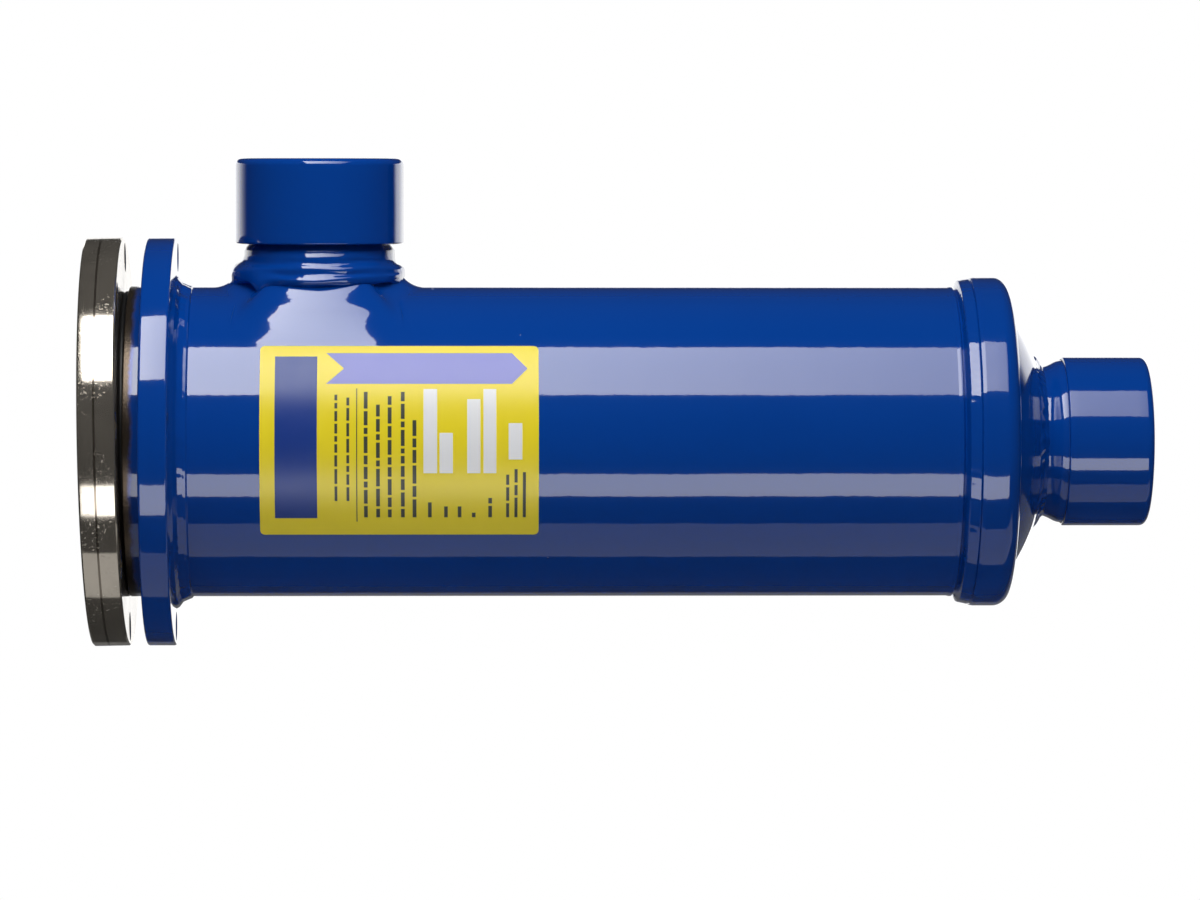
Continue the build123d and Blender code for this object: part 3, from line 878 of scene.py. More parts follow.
@dataclass
class EndCap:
    """Pressed end cap: skirt over the tube, knuckle, flat valley and the dome that the outlet neck passes."""

    edge: float = -65.923
    outer: float = 60.85
    wall: float = 3.6
    face: float = -51.723
    knuckle: float = 5.5
    flat: float = 9.0
    dome: float = 84.0
    dome_centre: float = -119.878
    dome_edge: float = 49.1
    hole: float = 28.05
    valley: float = 2.5

    def dome_arc(self, radius: float, start: float, end: float, steps: int) -> Array:
        """Points of the dome's section: x is the centre plus the root of radius squared less r squared."""
        r = np.linspace(start, end, steps)
        return np.stack((self.dome_centre + np.sqrt(radius**2 - r**2), r), -1)

    def build(self, paint: Material) -> Thing:
        """The cap turned about X in one piece."""
        inner_dome, inner_face, inner = self.dome - self.wall, self.face - self.wall, self.outer - self.wall
        meet = math.sqrt(inner_dome**2 - (inner_face - self.dome_centre) ** 2)
        outer_arc = self.dome_arc(self.dome, self.dome_edge - self.valley, self.hole, 26)
        inner_arc = self.dome_arc(inner_dome, self.hole, meet, 14)
        flat = (self.face, self.outer - self.flat, 0)
        bend = rounded((flat, (self.face, self.dome_edge, self.valley), (*outer_arc[0], 0)), 8)
        shoulder = rounded(
            (
                (self.edge, inner, 0), (self.edge, self.outer - 0.3, 0.3), (self.edge + 1.5, self.outer, 1.5),
                (self.face, self.outer, self.knuckle), flat,
            ),
            14,
        )
        knuckle = (inner_face, inner, self.knuckle - self.wall)
        inside = rounded(((inner_face, meet, 0), knuckle, (self.edge, inner, 0)), 6)
        outline = np.concatenate((shoulder, bend[1:], outer_arc[1:], inner_arc, inside[1:-1]))
        cap = lathe(fine(outline, 4.0, closed=True), count=360, closed=True)
        return piece("end_cap_pressed", (cap,), (paint,), ("end_cap",))


@dataclass
class WeldRun:
    """A weld run about X, laid by hand: a rounded section whose crown wanders, with faint crescents and a few lumps.

    The section's points move along its normals by a window that is nil at both toes, the sine of pi times the share
    of its length to the power 0.75, times the sum of the slow wander, the crescents and the lumps. The root closes
    the ring, and a lump is given by its angle and width in degrees and its height.
    """

    name: str
    node: str
    section: tuple[Triple, ...]
    root: tuple[Pair, ...]
    uneven: float
    ripples: int
    ripple_height: float
    seed: int
    lumps: tuple[Triple, ...]
    bow: float = 0.5
    drift: float = 0.6
    count: int = 720

    def surface(self) -> Array:
        """Points of the run's visible side."""
        a = turns(self.count)
        line = fine(rounded(self.section, 6), 0.4)
        along = headings(line)
        out = np.stack((-along[:, 1], along[:, 0]), -1)
        out *= np.sign(out[:, 1].sum())
        length = np.concatenate(((0.0,), np.cumsum(np.linalg.norm(np.diff(line, axis=0), axis=1))))
        s = (length / length[-1])[:, None]
        window = np.sin(math.pi * np.clip(s, 0, 1)).clip(0) ** 0.75
        drift = self.drift * wander(a, self.seed + 1, (3, 7, 11))
        phase = self.ripples * a + 2 * math.pi * drift + 2 * math.pi * self.bow * (2 * s - 1) ** 2
        lift = self.uneven * wander(a, self.seed, (2, 3, 5, 9, 14, 23)) + self.ripple_height * np.cos(phase)
        for degrees, width, height in self.lumps:
            lift = lift + height * bump_at(a, degrees, width)
        x, r = (line[:, k : k + 1] + out[:, k : k + 1] * window * lift for k in (0, 1))
        return polar(x, r, a)

    def build(self, paint: Material) -> Thing:
        """The run with its root, as one closed ring."""
        root = about_x(np.array(self.root), turns(self.count))
        ring = Patch(np.concatenate((self.surface(), root)), wrap_u=True, wrap_v=True)
        return piece(self.name, (ring,), (paint,), (self.node,), sharp=50.0)


WELD_RUNS = (
    WeldRun(
        "flange_weld_run",
        "flange_weld",
        (
            (-358.323, 61.7, 0), (-357.3, 61.0, 0.7), (-356.0, 58.9, 1.6), (-353.7, 58.0, 1.2),
            (-352.6, 57.75, 0.4), (-351.9, 57.0, 0),
        ),
        ((-352.123, 56.9), (-358.323, 56.9)),
        uneven=0.2,
        ripples=64,
        ripple_height=0.035,
        seed=21,
        lumps=((-14.0, 4.0, 1.1), (-24.0, 3.0, 0.5), (-163.0, 5.0, 0.9), (-172.0, 4.0, 0.6)),
    ),
    WeldRun(
        "cap_weld_run",
        "cap_weld",
        ((-72.0, 56.2, 0), (-71.5, 56.6, 0.5), (-70.3, 59.45, 0.8), (-66.5, 60.25, 0.4), (-65.5, 59.6, 0)),
        ((-65.5, 56.2), (-71.5, 56.2)),
        uneven=0.12,
        ripples=90,
        ripple_height=0.025,
        seed=31,
        lumps=((-145.0, 6.0, 0.2),),
    ),
    WeldRun(
        "outlet_weld_run",
        "outlet_weld",
        ((-43.0, 33.0, 0), (-41.7, 31.4, 1.5), (-40.3, 28.9, 1.5), (-38.2, 27.1, 0)),
        ((-40.7, 27.1), (-41.0, 28.05)),
        uneven=0.3,
        ripples=34,
        ripple_height=0.16,
        seed=41,
        lumps=((-8.0, 7.0, 0.5), (-32.0, 4.0, 0.35), (-160.0, 7.0, 0.4)),
    ),
)


@dataclass
class Branch:
    """Solder socket and turned neck of one branch, made along +X with the mouth at the origin.

    Finish 0 is the outside, 1 the bore, and 2 the narrow seat and step between socket and neck.
    """

    shoulder_step: float
    shoulder_length: float
    neck_end: float
    weld_under: float
    bore: float = 27.05
    depth: float = 25.0
    outer: float = 31.2
    length: float = 31.4
    lip: float = 2.6
    mouth_break: float = 0.55
    seat_break: float = 0.8
    neck_bore: float = 24.6
    neck_outer: float = 27.9
    waist: float = 27.9
    nose: float = 28.4
    nose_gap: float = 0.1
    nose_break: float = 0.3
    flare_end: float = -41.0

    def socket(self) -> list[Patch]:
        """Outside with its rounded lip, seat and bore."""
        seat, gap, end = self.outer - self.seat_break, self.nose + self.nose_gap, -self.length
        mouth = (-self.mouth_break, self.bore)
        outside = rounded(
            (
                (*mouth, 0), (0.0, self.bore + self.mouth_break, 0.5), (0.0, self.outer, self.lip),
                (end + 0.35, self.outer, 0.5), (end, seat, 0),
            ),
            10,
        )
        inside = np.array(((end, gap), (-self.depth, gap), (-self.depth, self.bore), mouth))
        return [lathe(fine(outside, 4.0)), lathe(np.array(((end, seat), (end, gap))), 2), lathe(fine(inside, 6.0), 1)]

    def neck(self) -> list[Patch]:
        """Nose in the socket, step, outside with its shoulder and waist, foot and bore."""
        start, end, bottom = -self.length, self.neck_end, -self.depth
        top, bevel = self.neck_outer + self.shoulder_step, self.nose_break
        shoulder = start - self.shoulder_length
        flare = ((shoulder, self.waist, 1.0),)
        if self.shoulder_step > 0:
            flare = ((start - 1.4, top, 7.0), (shoulder, self.waist, 12.0), (self.flare_end, self.waist, 0))
        corner = (start - 0.2, top - 0.1)
        outside = rounded(((*corner, 0), *flare, (self.weld_under, self.neck_outer, 0), (end, self.neck_outer, 0)), 8)
        nose = np.array(((bottom, self.neck_bore + bevel), (bottom, self.nose), (start, self.nose)))
        step = np.array(((start, self.nose), (start, top - 0.35), corner))
        foot = np.array(((end, self.neck_outer), (end, self.neck_bore)))
        inside = np.array(((end, self.neck_bore), (bottom - bevel, self.neck_bore), (bottom, self.neck_bore + bevel)))
        parts = ((nose, 1), (step, 2), (fine(outside, 4.0), 0), (foot, 1), (fine(inside, 8.0), 1))
        return [lathe(outline, finish) for outline, finish in parts]


@dataclass
class Branches:
    """Outlet branch on the dome and inlet branch on the drawn collar."""

    inlet_x: float = -305.823
    inlet_z: float = 104.4
    outlet: Branch = field(default_factory=lambda: Branch(2.3, 6.9, -53.923, -41.6, waist=27.2))
    inlet: Branch = field(default_factory=lambda: Branch(-1.6, 2.3, -41.15, -36.0))

    def build(self, paint: Material, bore: Material, seam: Material) -> None:
        """The four turned pieces, of which the outlet's have a bare seam."""
        for side, branch, seat in (("outlet", self.outlet, seam), ("inlet", self.inlet, paint)):
            for part, patches in (("socket", branch.socket()), ("neck", branch.neck())):
                if branch is self.inlet:
                    patches = [stand_up(patch, self.inlet_x, self.inlet_z) for patch in patches]
                piece(f"{side}_{part}_turned", patches, (paint, bore, seat), (f"{side}_{part}",))


@dataclass
class InletWeld:
    """Hand-laid weld round the inlet neck: three soft bellies of filler, one drooping lump, and wavy toes.

    The section is a smooth line through eight heights and radii, given for the right, the left and the front. Their
    shares round the turn are cosine squared on the right and left and sine squared in front, and the back is as the
    front. All but the ends waver, and round the droop's angle each point falls and comes forward by its own share.
    The lowest point lies on the collar: with ball radius p, the ball's centre at reach q and height c, the collar's
    radius at height z is q less the root of p^2 - (c - z)^2, less what the collar draws in there.
    """

    tube: ShellTube
    top_z: float = 70.65
    neck: float = 27.9
    gap_z: float = 63.25
    root_width: float = 3.2
    right: tuple[Pair, ...] = (
        (59.2, 0.0), (60.2, 31.4), (61.4, 31.6), (63.2, 31.4),
        (64.8, 30.5), (66.6, 28.5), (68.5, 28.1), (70.65, 27.95),
    )
    left: tuple[Pair, ...] = (
        (58.7, 0.0), (60.0, 32.6), (61.6, 32.8), (63.2, 32.5),
        (64.8, 31.3), (66.6, 29.2), (68.5, 28.3), (70.65, 27.95),
    )
    front: tuple[Pair, ...] = (
        (57.5, 0.0), (58.4, 30.9), (60.4, 31.5), (62.2, 30.3),
        (64.3, 30.45), (66.2, 29.1), (68.6, 29.05), (70.65, 28.0),
    )
    waver: float = 0.55
    swell: float = 0.2
    crescent: float = 0.012
    crescents: int = 58
    toe_waver: float = 0.35
    toe_bite: float = 0.06
    droop_at: float = 227.5
    droop_width: float = 6.5
    droop: float = 3.0
    droop_shares: tuple[float, ...] = (1.0, 0.9, 0.55, 0.15, 0, 0, 0, 0)
    bulge: float = 0.75
    bulge_shares: tuple[float, ...] = (0, 1.0, 0.8, 0.3, 0, 0, 0, 0)
    count: int = 720

    def collar(self, a: Array, z: Array) -> Array:
        """The collar's radius at a height."""
        t = self.tube
        ball = t.blend + t.swell(a)
        reach = t.collar_radius + ball
        height = np.sqrt((t.outer + ball) ** 2 - (reach * np.sin(a)) ** 2)
        return reach - np.sqrt(ball**2 - (height - z) ** 2) - t.squeeze(a, z)

    def controls(self, a: Array) -> Array:
        """Heights and radii of the section's eight points round the turn."""
        right = np.maximum(np.cos(a), 0)[:, None] ** 2
        left = np.maximum(-np.cos(a), 0)[:, None] ** 2
        front = np.sin(a)[:, None] ** 2
        sets = [np.array(values)[:, None, :] for values in (self.right, self.left, self.front)]
        z, r = np.moveaxis(right * sets[0] + left * sets[1] + front * sets[2], -1, 0)
        rows = np.arange(len(z))
        loose = np.sin(math.pi * rows / (len(z) - 1))[:, None]
        z = z + loose * self.waver * np.stack([wander(a, 40 + k, (2, 3, 5, 8)) for k in rows])
        r = r + loose * self.swell * np.stack([wander(a, 60 + k, (2, 3, 5, 8, 13)) for k in rows])
        lump = bump_at(a, self.droop_at, self.droop_width)
        z = z - self.droop * lump * np.array(self.droop_shares)[:, None]
        r = r + self.bulge * lump * np.array(self.bulge_shares)[:, None]
        z[0] += self.toe_waver * wander(a, 80, (3, 6, 10, 15))
        r[0] = self.collar(a, z[0]) - self.toe_bite
        return np.stack((z, r), -1)

    def build(self, paint: Material) -> Thing:
        """The run with its root in the gap under the neck."""
        a, t = turns(self.count), self.tube
        section = through(self.controls(a), 6)
        z, r = section[..., 0], section[..., 1]
        share = np.linspace(0, 1, len(z))[:, None]
        phase = self.crescents * a + 3.5 * wander(a, 90, (3, 5, 8)) + 9 * share**2
        r = r + self.crescent * np.sin(math.pi * share) * np.cos(phase)
        root = np.array(
            (
                (self.neck, self.top_z), (self.neck, self.gap_z), (t.collar_bore, self.gap_z),
                (t.collar_bore, t.collar_top), (t.collar_bore + self.root_width, t.collar_top),
            )
        )
        r = np.concatenate((r, root[:, :1] + 0 * a))
        z = np.concatenate((z, root[:, 1:] + 0 * a))
        ring = Patch(np.stack((t.inlet_x + r * np.cos(a), r * np.sin(a), z), -1), wrap_u=True, wrap_v=True)
        return piece("inlet_weld_run", (ring,), (paint,), ("inlet_weld",), sharp=60.0)


class Ink(IntEnum):
    """Finish numbers of the prints."""

    ARROW = 0
    BLOCK = 1
    WHITE = 2
    TEXT = 3


@dataclass
class NameLabel:
    """Printed label round the front of the tube: fields of colour and plain bars, with no wording.

    Places are (x, z) in millimetres as seen from the front, and a point lies at (x, -root(r squared - z squared), z).
    Fields are given as (left, right, bottom, top), and columns of bars as (middle, width, bottom, top, bars).
    """

    tube: float = 57.15
    thickness: float = 0.2
    left: float = -326.023
    right: float = -225.723
    top: float = 36.71
    bottom: float = -30.98
    corner: float = 1.6
    print_sunk: float = 0.02
    print_raised: float = 0.035
    bar_gap: float = 0.9
    arrow_ends: Pair = (-302.12, -229.69)
    arrow_notch: float = 6.4
    arrow_point: float = 5.64
    arrow_rise: Pair = (23.46, 34.17)
    block: Quad = (-320.6, -305.4, -24.8, 33.0)
    rule: Quad = (-291.3, -290.95, -26.1, 21.8)
    boxes: tuple[Quad, ...] = (
        (-267.15, -262.26, -8.37, 21.61),
        (-261.39, -256.61, -8.37, 6.08),
        (-251.47, -246.73, -8.37, 18.05),
        (-245.61, -241.01, -8.37, 21.61),
        (-236.59, -231.66, -3.43, 9.56),
    )
    lines: tuple[tuple[float, float, float, float, int], ...] = (
        (-298.6, 1.0, -18.5, 20.5, 9),
        (-294.3, 1.0, -18.5, 19.5, 8),
        (-287.9, 1.35, -24.5, 21.5, 9),
        (-283.5, 1.35, -24.5, 17.0, 8),
        (-279.3, 1.35, -24.5, 20.0, 9),
        (-274.6, 1.35, -24.5, 21.5, 10),
        (-270.4, 1.35, -24.5, 11.5, 6),
        (-264.9, 1.3, -24.5, -19.0, 1),
        (-259.1, 1.3, -24.5, -20.5, 1),
        (-254.2, 1.3, -24.5, -20.5, 1),
        (-249.1, 1.3, -24.5, -22.8, 1),
        (-243.2, 1.3, -24.5, -16.5, 2),
        (-236.9, 1.1, -24.5, -8.0, 3),
        (-233.9, 1.1, -24.5, -6.0, 3),
        (-230.9, 1.1, -24.5, -8.0, 1),
    )

    def film(
        self,
        sides: tuple[Callable[[Array], Array], Callable[[Array], Array]],
        rise: Pair,
        layer: Pair,
        finish: int,
        rows: int = 0,
        columns: int = 2,
    ) -> list[Patch]:
        """A film bent round the tube, with its front, back and edges; its sides may vary with height.

        Args:
            sides: left and right side's x for each share of the height, from 0 at the bottom.
            rise: z of the lower and upper edge.
            layer: radii of the film's back and front.
            finish: finish number.
            rows: rows of points, or 0 for one about every millimetre.
            columns: columns of points.

        Returns:
            The film's patches.
        """
        bottom, top = rise
        rows = rows or max(3, int(abs(top - bottom)) + 2)
        turn = np.linspace(math.asin(bottom / self.tube), math.asin(top / self.tube), rows)[:, None]
        share = (self.tube * np.sin(turn) - bottom) / (top - bottom)
        across = np.linspace(0, 1, columns)
        x = sides[0](share) * (1 - across) + sides[1](share) * across
        back, front = [np.stack((x, -r * np.cos(turn) + 0 * x, r * np.sin(turn) + 0 * x), -1) for r in layer]
        edges = [np.stack((back[:, k], front[:, k])) for k in (0, -1)]
        edges += [np.stack((back[k], front[k])) for k in (0, -1)]
        return [Patch(points, finish=finish) for points in (front, back, *edges)]

    def bar(self, place: Quad, finish: int, layer: Pair) -> list[Patch]:
        """A plain film with straight sides."""
        left, right, bottom, top = place
        return self.film((lambda v: left + 0 * v, lambda v: right + 0 * v), (bottom, top), layer, finish)

    def sheet(self) -> list[Patch]:
        """The yellow sheet, whose corners are quarter circles."""
        height = self.top - self.bottom

        def inset(share: Array) -> Array:
            """How far the rounded corner draws in at this height."""
            edge = np.clip(self.corner - np.minimum(share, 1 - share) * height, 0, self.corner)
            return self.corner - np.sqrt(np.clip(self.corner**2 - edge**2, 0, None))

        sides = (lambda v: self.left + inset(v), lambda v: self.right - inset(v))
        return self.film(sides, (self.bottom, self.top), (self.tube, self.tube + self.thickness), 0, 220, 24)

    def arrow(self, layer: Pair) -> list[Patch]:
        """Flow arrow: a band whose tail is notched and whose head comes to a point."""
        tail, head = self.arrow_ends
        sides = (
            lambda v: tail + self.arrow_notch * (1 - np.abs(2 * v - 1)),
            lambda v: head - self.arrow_point * np.abs(2 * v - 1),
        )
        return self.film(sides, self.arrow_rise, layer, Ink.ARROW, 31, 16)

    def bars(self, layer: Pair) -> list[Patch]:
        """Plain bars where lines of print stand, each broken into uneven lengths."""
        dice = np.random.default_rng(5)
        patches: list[Patch] = []
        for x, width, bottom, top, count in self.lines:
            shares = dice.uniform(0.6, 1.6, count)
            ends = bottom + np.concatenate(((0.0,), np.cumsum(shares / shares.sum()))) * (top - bottom)
            for start, stop in zip(ends[:-1], ends[1:] - (self.bar_gap if count > 1 else 0.0)):
                place = (x - width / 2, x + width / 2, float(start), float(stop))
                patches += self.bar(place, Ink.TEXT, layer)
        return patches

    def build(self, sheet: Material, prints: Sequence[Material]) -> None:
        """The sheet, and the prints as films on it, with their finishes in the order of Ink."""
        piece("label_sheet", self.sheet(), (sheet,), ("label",), sharp=40.0)
        surface = self.tube + self.thickness
        layer = (surface - self.print_sunk, surface + self.print_raised)
        patches = self.arrow(layer) + self.bar(self.block, Ink.BLOCK, layer)
        for box in self.boxes:
            patches += self.bar(box, Ink.WHITE, layer)
        patches += self.bar(self.rule, Ink.TEXT, layer) + self.bars(layer)
        piece("label_prints", patches, prints, sharp=40.0)


@dataclass
class CorePack:
    """Filter cores, plates, strainer, tie rod and spring inside the shell."""

    spring_left: float = -372.373
    spring_right: float = -349.373
    coil: float = 29.0
    wire: float = 1.8
    coils: float = 3.5
    closed_coil: float = 0.75
    steps: int = 360
    sides: int = 16

    def spring(self, steel: Material) -> Thing:
        """Round wire along a helix, whose pitch is nil for the first and last three quarters of a turn."""
        turn = np.linspace(0, 1, self.steps) * self.coils
        live = smooth((turn - self.closed_coil) / (self.coils - 2 * self.closed_coil))
        x = self.spring_left + self.wire + (self.spring_right - self.spring_left - 2 * self.wire) * live
        a = turn * 2 * math.pi
        out, centre = polar(0 * a, 1.0, a), polar(x, self.coil, a)
        side = np.cross(headings(centre), out)
        b = turns(self.sides)[:, None]
        tube = centre[:, None] + self.wire * (out[:, None] * np.cos(b) + side[:, None] * np.sin(b))
        first, last = [np.broadcast_to(centre[k], (1, self.sides, 3)) for k in (0, -1)]
        wire = Patch(np.concatenate((first, tube, last)), wrap_v=True)
        return piece("pack_spring_wire", (wire,), (steel,), ("pack_spring",), sharp=50.0)

    def dress(self, nodes: dict[str, Thing], finishes: Finishes) -> None:
        """Give each inner node its finish."""
        plates = ("outlet_plate", "rod_spider", "middle_plate", "end_plate")
        for finish, names in (
            (finishes.core, ("core_outlet_side", "core_inlet_side")),
            (finishes.felt, [f"felt_pad_{number}" for number in range(1, 5)]),
            (finishes.plated, (*plates, "tie_rod", "tie_rod_nuts", "tie_rod_washer")),
            (finishes.strainer, ("strainer_tube",)),
            (finishes.gasket, ("outlet_gasket",)),
        ):
            material = finish.material()
            for name in names:
                mesh = nodes[name].data
                mesh.materials.clear()
                mesh.materials.append(material)
                log.info("%s: dressed", name)


# ---------------------------------------------------------------- studio


@dataclass
class Panel:
    """A flat lamp that looks at a point of the object, with sizes in metres and angles in degrees."""

    name: str
    elevation: float
    distance: float
    width: float
    height: float
    radiance: float
    target: Triple = (-0.15, 0.0, 0.0)
    diffuse: bool = True
    glossy: bool = True
    left_gain: float = 1.0
    right_gain: float = 1.0

    def shade(self, light: bpy.types.Light) -> None:
        """Let the lamp's strength change evenly from its left to its right edge."""
        light.use_nodes = True
        tree = light.node_tree
        glow = next(node for node in tree.nodes if node.type == "EMISSION")
        place = tree.nodes.new("ShaderNodeNewGeometry")
        split = tree.nodes.new("ShaderNodeSeparateXYZ")
        gain = tree.nodes.new("ShaderNodeMapRange")
        gain.inputs[3].default_value = self.left_gain
        gain.inputs[4].default_value = self.right_gain
        tree.links.new(place.outputs["Parametric"], split.inputs[0])
        tree.links.new(split.outputs["X"], gain.inputs[0])
        tree.links.new(gain.outputs[0], glow.inputs["Strength"])

    def build(self) -> None:
        """The lamp. Its power is pi times its radiance times its area."""
        light = bpy.data.lights.new(self.name, "AREA")
        light.shape = "RECTANGLE"
        light.size, light.size_y = self.width, self.height
        light.energy = math.pi * self.radiance * self.width * self.height
        if self.left_gain != self.right_gain:
            self.shade(light)
        lamp = bpy.data.objects.new(self.name, light)
        rise = math.radians(self.elevation)
        away, right = np.array((0.0, -math.cos(rise), math.sin(rise))), np.array((1.0, 0.0, 0.0))
        lamp.matrix_world = matrix(right, np.cross(away, right), away, np.array(self.target) + away * self.distance)
        lamp.visible_camera = False
        lamp.visible_diffuse = self.diffuse
        lamp.visible_glossy = self.glossy
        bpy.context.scene.collection.objects.link(lamp)


def matrix(right: Array, up: Array, back: Array, place: Array) -> Matrix:
    """World matrix of an object from its axes and place."""
    return Matrix(np.stack((right, up, back, place), -1).tolist() + [[0.0, 0.0, 0.0, 1.0]])


def level(low: Pair, high: Pair, z: float) -> list[Triple]:
    """Corners of a level rectangle between two of its corners."""
    return [(low[0], low[1], z), (high[0], low[1], z), (high[0], high[1], z), (low[0], high[1], z)]


PANELS = (
    Panel("key_softbox", 55.8, 1.0, 0.80, 0.70, 4.5, left_gain=1.81, right_gain=0.31),
    Panel("low_strip", -27.9, 0.56, 0.62, 0.16, 2.9, target=(-0.17, 0.0, 0.0), diffuse=False),
    Panel("front_fill", 36.0, 2.6, 1.6, 1.2, 1.35, glossy=False),
    Panel("top_back_fill", 115.0, 1.3, 0.9, 0.6, 1.0, glossy=False),
)


@dataclass
class Studio:
    """Pale floor, white surroundings, lamps, glowing cards and the camera, with sizes in metres and degrees.

    A card is given by its name, two corners, height and radiance.
    """

    floor_z: float = -0.34
    floor_half: float = 6.0
    camera_place: Triple = (-0.25619, -1.9818, 0.10719)
    yaw: float = 1.56
    pitch: float = 3.188
    roll: float = 0.074
    focal: float = 161.04
    ambient: float = 0.09
    dark: float = 0.025
    wall_middle: Pair = (-0.19, 0.0)
    wall_distance: float = 1.9
    wall_end: float = 70.0
    wall_fade: tuple[Pair, Pair] = ((-70.0, -43.0), (44.0, 57.0))
    wall_radiance: Pair = (1.15, 1.6)
    wall_step: Pair = (14.0, 20.0)
    wall_heights: Pair = (-0.33, 0.46)
    cards: tuple[tuple[str, Pair, Pair, float, float], ...] = (
        ("low_card", (-0.62, -0.225), (0.30, -0.03), -0.335, 0.46),
        ("back_floor_card", (-1.3, 0.50), (1.0, 1.5), -0.333, 0.14),
    )
    floor_grey: float = 0.72
    floor_fade: Pair = (0.55, 1.1)

    def world(self) -> None:
        """Dim surroundings for the object, and white for the camera."""
        world = bpy.data.worlds.new("studio_air")
        world.use_nodes = True
        tree = world.node_tree
        tree.nodes.clear()
        out = tree.nodes.new("ShaderNodeOutputWorld")
        path = tree.nodes.new("ShaderNodeLightPath")
        shown: Socket | None = None
        for ray, strength in (("", self.ambient), ("Is Glossy Ray", self.dark), ("Is Camera Ray", 1.0)):
            air = tree.nodes.new("ShaderNodeBackground")
            air.inputs["Color"].default_value = (1.0, 1.0, 1.0, 1.0)
            air.inputs["Strength"].default_value = strength
            if not ray:
                shown = air.outputs[0]
                continue
            mix = tree.nodes.new("ShaderNodeMixShader")
            for number, socket in enumerate((path.outputs[ray], shown, air.outputs[0])):
                tree.links.new(socket, mix.inputs[number])
            shown = mix.outputs[0]
        tree.links.new(shown, out.inputs[0])
        bpy.context.scene.world = world

    def floor(self) -> None:
        """Pale floor that keeps the shadow near the object and turns to plain white further away."""
        h = self.floor_half
        mesh = bpy.data.meshes.new("studio_floor")
        mesh.from_pydata(level((-h, -h), (h, h), self.floor_z), [], [(0, 1, 2, 3)])
        n = Nodes("pale_floor")
        n.set(Base_Color=(self.floor_grey,) * 3 + (1.0,), Roughness=0.9, Specular_IOR_Level=0.1)
        glow = n.add("ShaderNodeEmission")
        n.feed(glow, "Strength", 1.0)
        flat = n.add("ShaderNodeVectorMath", operation="MULTIPLY")
        n.feed(flat, 0, n.place())
        n.feed(flat, 1, (1.0, 1.0, 0.0))
        length = n.add("ShaderNodeVectorMath", operation="LENGTH")
        n.feed(length, 0, flat.outputs[0])
        path = n.add("ShaderNodeLightPath")
        share = n.math("MULTIPLY", n.ramp(length.outputs["Value"], *self.floor_fade), path.outputs["Is Camera Ray"])
        mix = n.add("ShaderNodeMixShader")
        for number, value in enumerate((share, n.shader.outputs[0], glow.outputs[0])):
            n.feed(mix, number, value)
        n.show(mix.outputs[0])
        mesh.materials.append(n.material)
        floor = bpy.data.objects.new("studio_floor", mesh)
        floor.visible_glossy = False
        bpy.context.scene.collection.objects.link(floor)

    def wall(self) -> None:
        """Glowing round wall behind the object, seen only in reflections.

        Its radiance goes from the middle's to the sides' across the step, and fades out at the ends.
        """
        angle = np.radians(np.linspace(-self.wall_end, self.wall_end, 49))
        ring = np.array(self.wall_middle)[:, None] + self.wall_distance * np.stack((np.sin(angle), np.cos(angle)))
        corners = [(float(x), float(y), z) for z in self.wall_heights for x, y in ring.T]
        count = len(angle)
        faces = [(k, k + 1, count + k + 1, count + k) for k in range(count - 1)]
        n = Nodes("studio_wall")
        split = n.add("ShaderNodeSeparateXYZ")
        n.feed(split, 0, n.place())
        across = n.math("SUBTRACT", split.outputs["X"], self.wall_middle[0])
        turn = n.math("ARCTAN2", across, split.outputs["Y"])
        step, left, right = [tuple(map(math.radians, pair)) for pair in (self.wall_step, *self.wall_fade)]
        glow = n.ramp(n.math("ABSOLUTE", turn), *step, *self.wall_radiance)
        glow = n.math("MULTIPLY", glow, n.ramp(turn, *left))
        glow = n.math("MULTIPLY", glow, n.ramp(turn, *right, 1.0, 0.0))
        self.glowing("studio_wall", corners, glow, faces, n)

    def glowing(
        self,
        name: str,
        corners: list[Triple],
        radiance: object,
        faces: Sequence[tuple[int, ...]] = ((0, 1, 2, 3),),
        n: Nodes | None = None,
    ) -> None:
        """A glowing card that only reflections show.

        Args:
            name: the card's name.
            corners: its points in metres.
            radiance: its radiance, as a number or a socket of n.
            faces: its faces.
            n: its material, if the radiance is a socket.
        """
        mesh = bpy.data.meshes.new(name)
        mesh.from_pydata(corners, [], list(faces))
        n = n or Nodes(name)
        glow = n.add("ShaderNodeEmission")
        n.feed(glow, "Strength", radiance)
        n.show(glow.outputs[0])
        mesh.materials.append(n.material)
        made = bpy.data.objects.new(name, mesh)
        made.visible_camera = made.visible_diffuse = made.visible_shadow = False
        bpy.context.scene.collection.objects.link(made)

    def camera(self) -> None:
        """Long lens, a little above the axis and turned slightly to the outlet."""
        data = bpy.data.cameras.new("view")
        data.lens = self.focal
        data.sensor_width = 36.0
        data.clip_end = 50.0
        made = bpy.data.objects.new("view", data)
        yaw, pitch = math.radians(self.yaw), math.radians(self.pitch)
        ahead = np.array((math.sin(yaw) * math.cos(pitch), math.cos(yaw) * math.cos(pitch), -math.sin(pitch)))
        right = np.array((math.cos(yaw), -math.sin(yaw), 0.0))
        up = np.cross(right, ahead)
        roll = math.radians(self.roll)
        right, up = right * math.cos(roll) + up * math.sin(roll), up * math.cos(roll) - right * math.sin(roll)
        made.matrix_world = matrix(right, up, -ahead, np.array(self.camera_place))
        bpy.context.scene.collection.objects.link(made)
        bpy.context.scene.camera = made

    def build(self) -> None:
        """All of the studio."""
        bpy.context.scene.view_settings.view_transform = "Standard"
        self.world()
        self.floor()
        self.camera()
        for panel in PANELS:
            panel.build()
        for name, low, high, z, radiance in self.cards:
            self.glowing(name, level(low, high, z), radiance)
        self.wall()


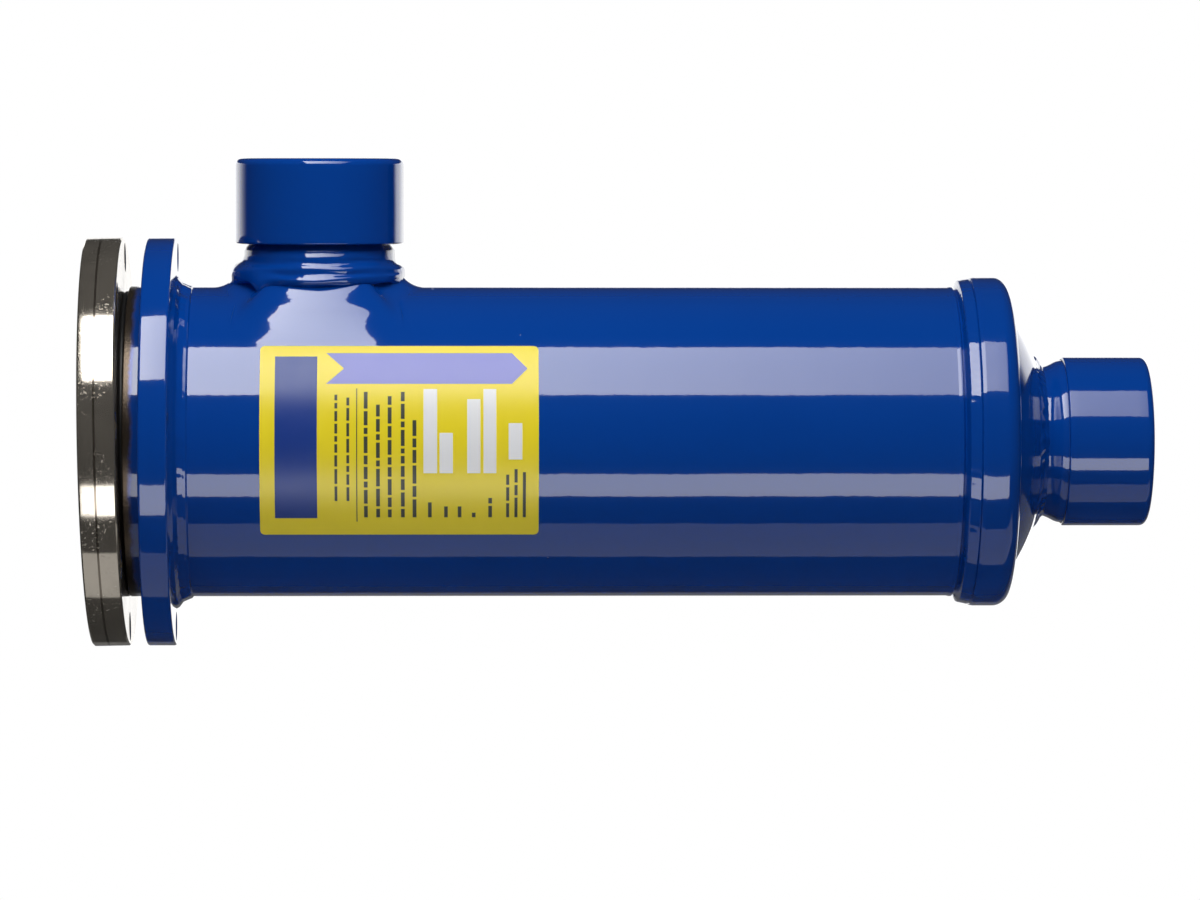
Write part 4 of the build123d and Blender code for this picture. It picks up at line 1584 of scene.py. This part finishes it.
def main() -> None:
    """Build every sub-assembly in order, then the studio."""
    logging.basicConfig(level=logging.INFO, format="%(name)s %(message)s")
    f = Finishes()
    paint, plain, bore = f.paint.material(), f.paint_smooth.material(), f.bore.material()
    tube = ShellTube()
    tube.build(f.tube_paint.material(), bore)
    EndCap().build(f.cap_paint.material())
    FlangeRing().build(paint)
    cover = CoverPlate()
    # The cover's second finish is darker steel painted as the shade of the rim's shallow groove.
    cover.build(f.cover.material(), f.cover_groove_shade.material())
    cover.seal(f.seal.material())
    Branches().build(paint, bore, f.seam.material())
    for run in WELD_RUNS:
        run.build(plain)
    InletWeld(tube).build(plain)
    prints = [finish.material() for finish in (f.arrow, f.block, f.white, f.ink)]
    NameLabel().build(f.sheet.material(), prints)
    pack = CorePack()
    pack.spring(f.spring.material())
    pack.dress(frame["nodes"], f)
    Studio().build()


if __name__ == "__main__":
    main()
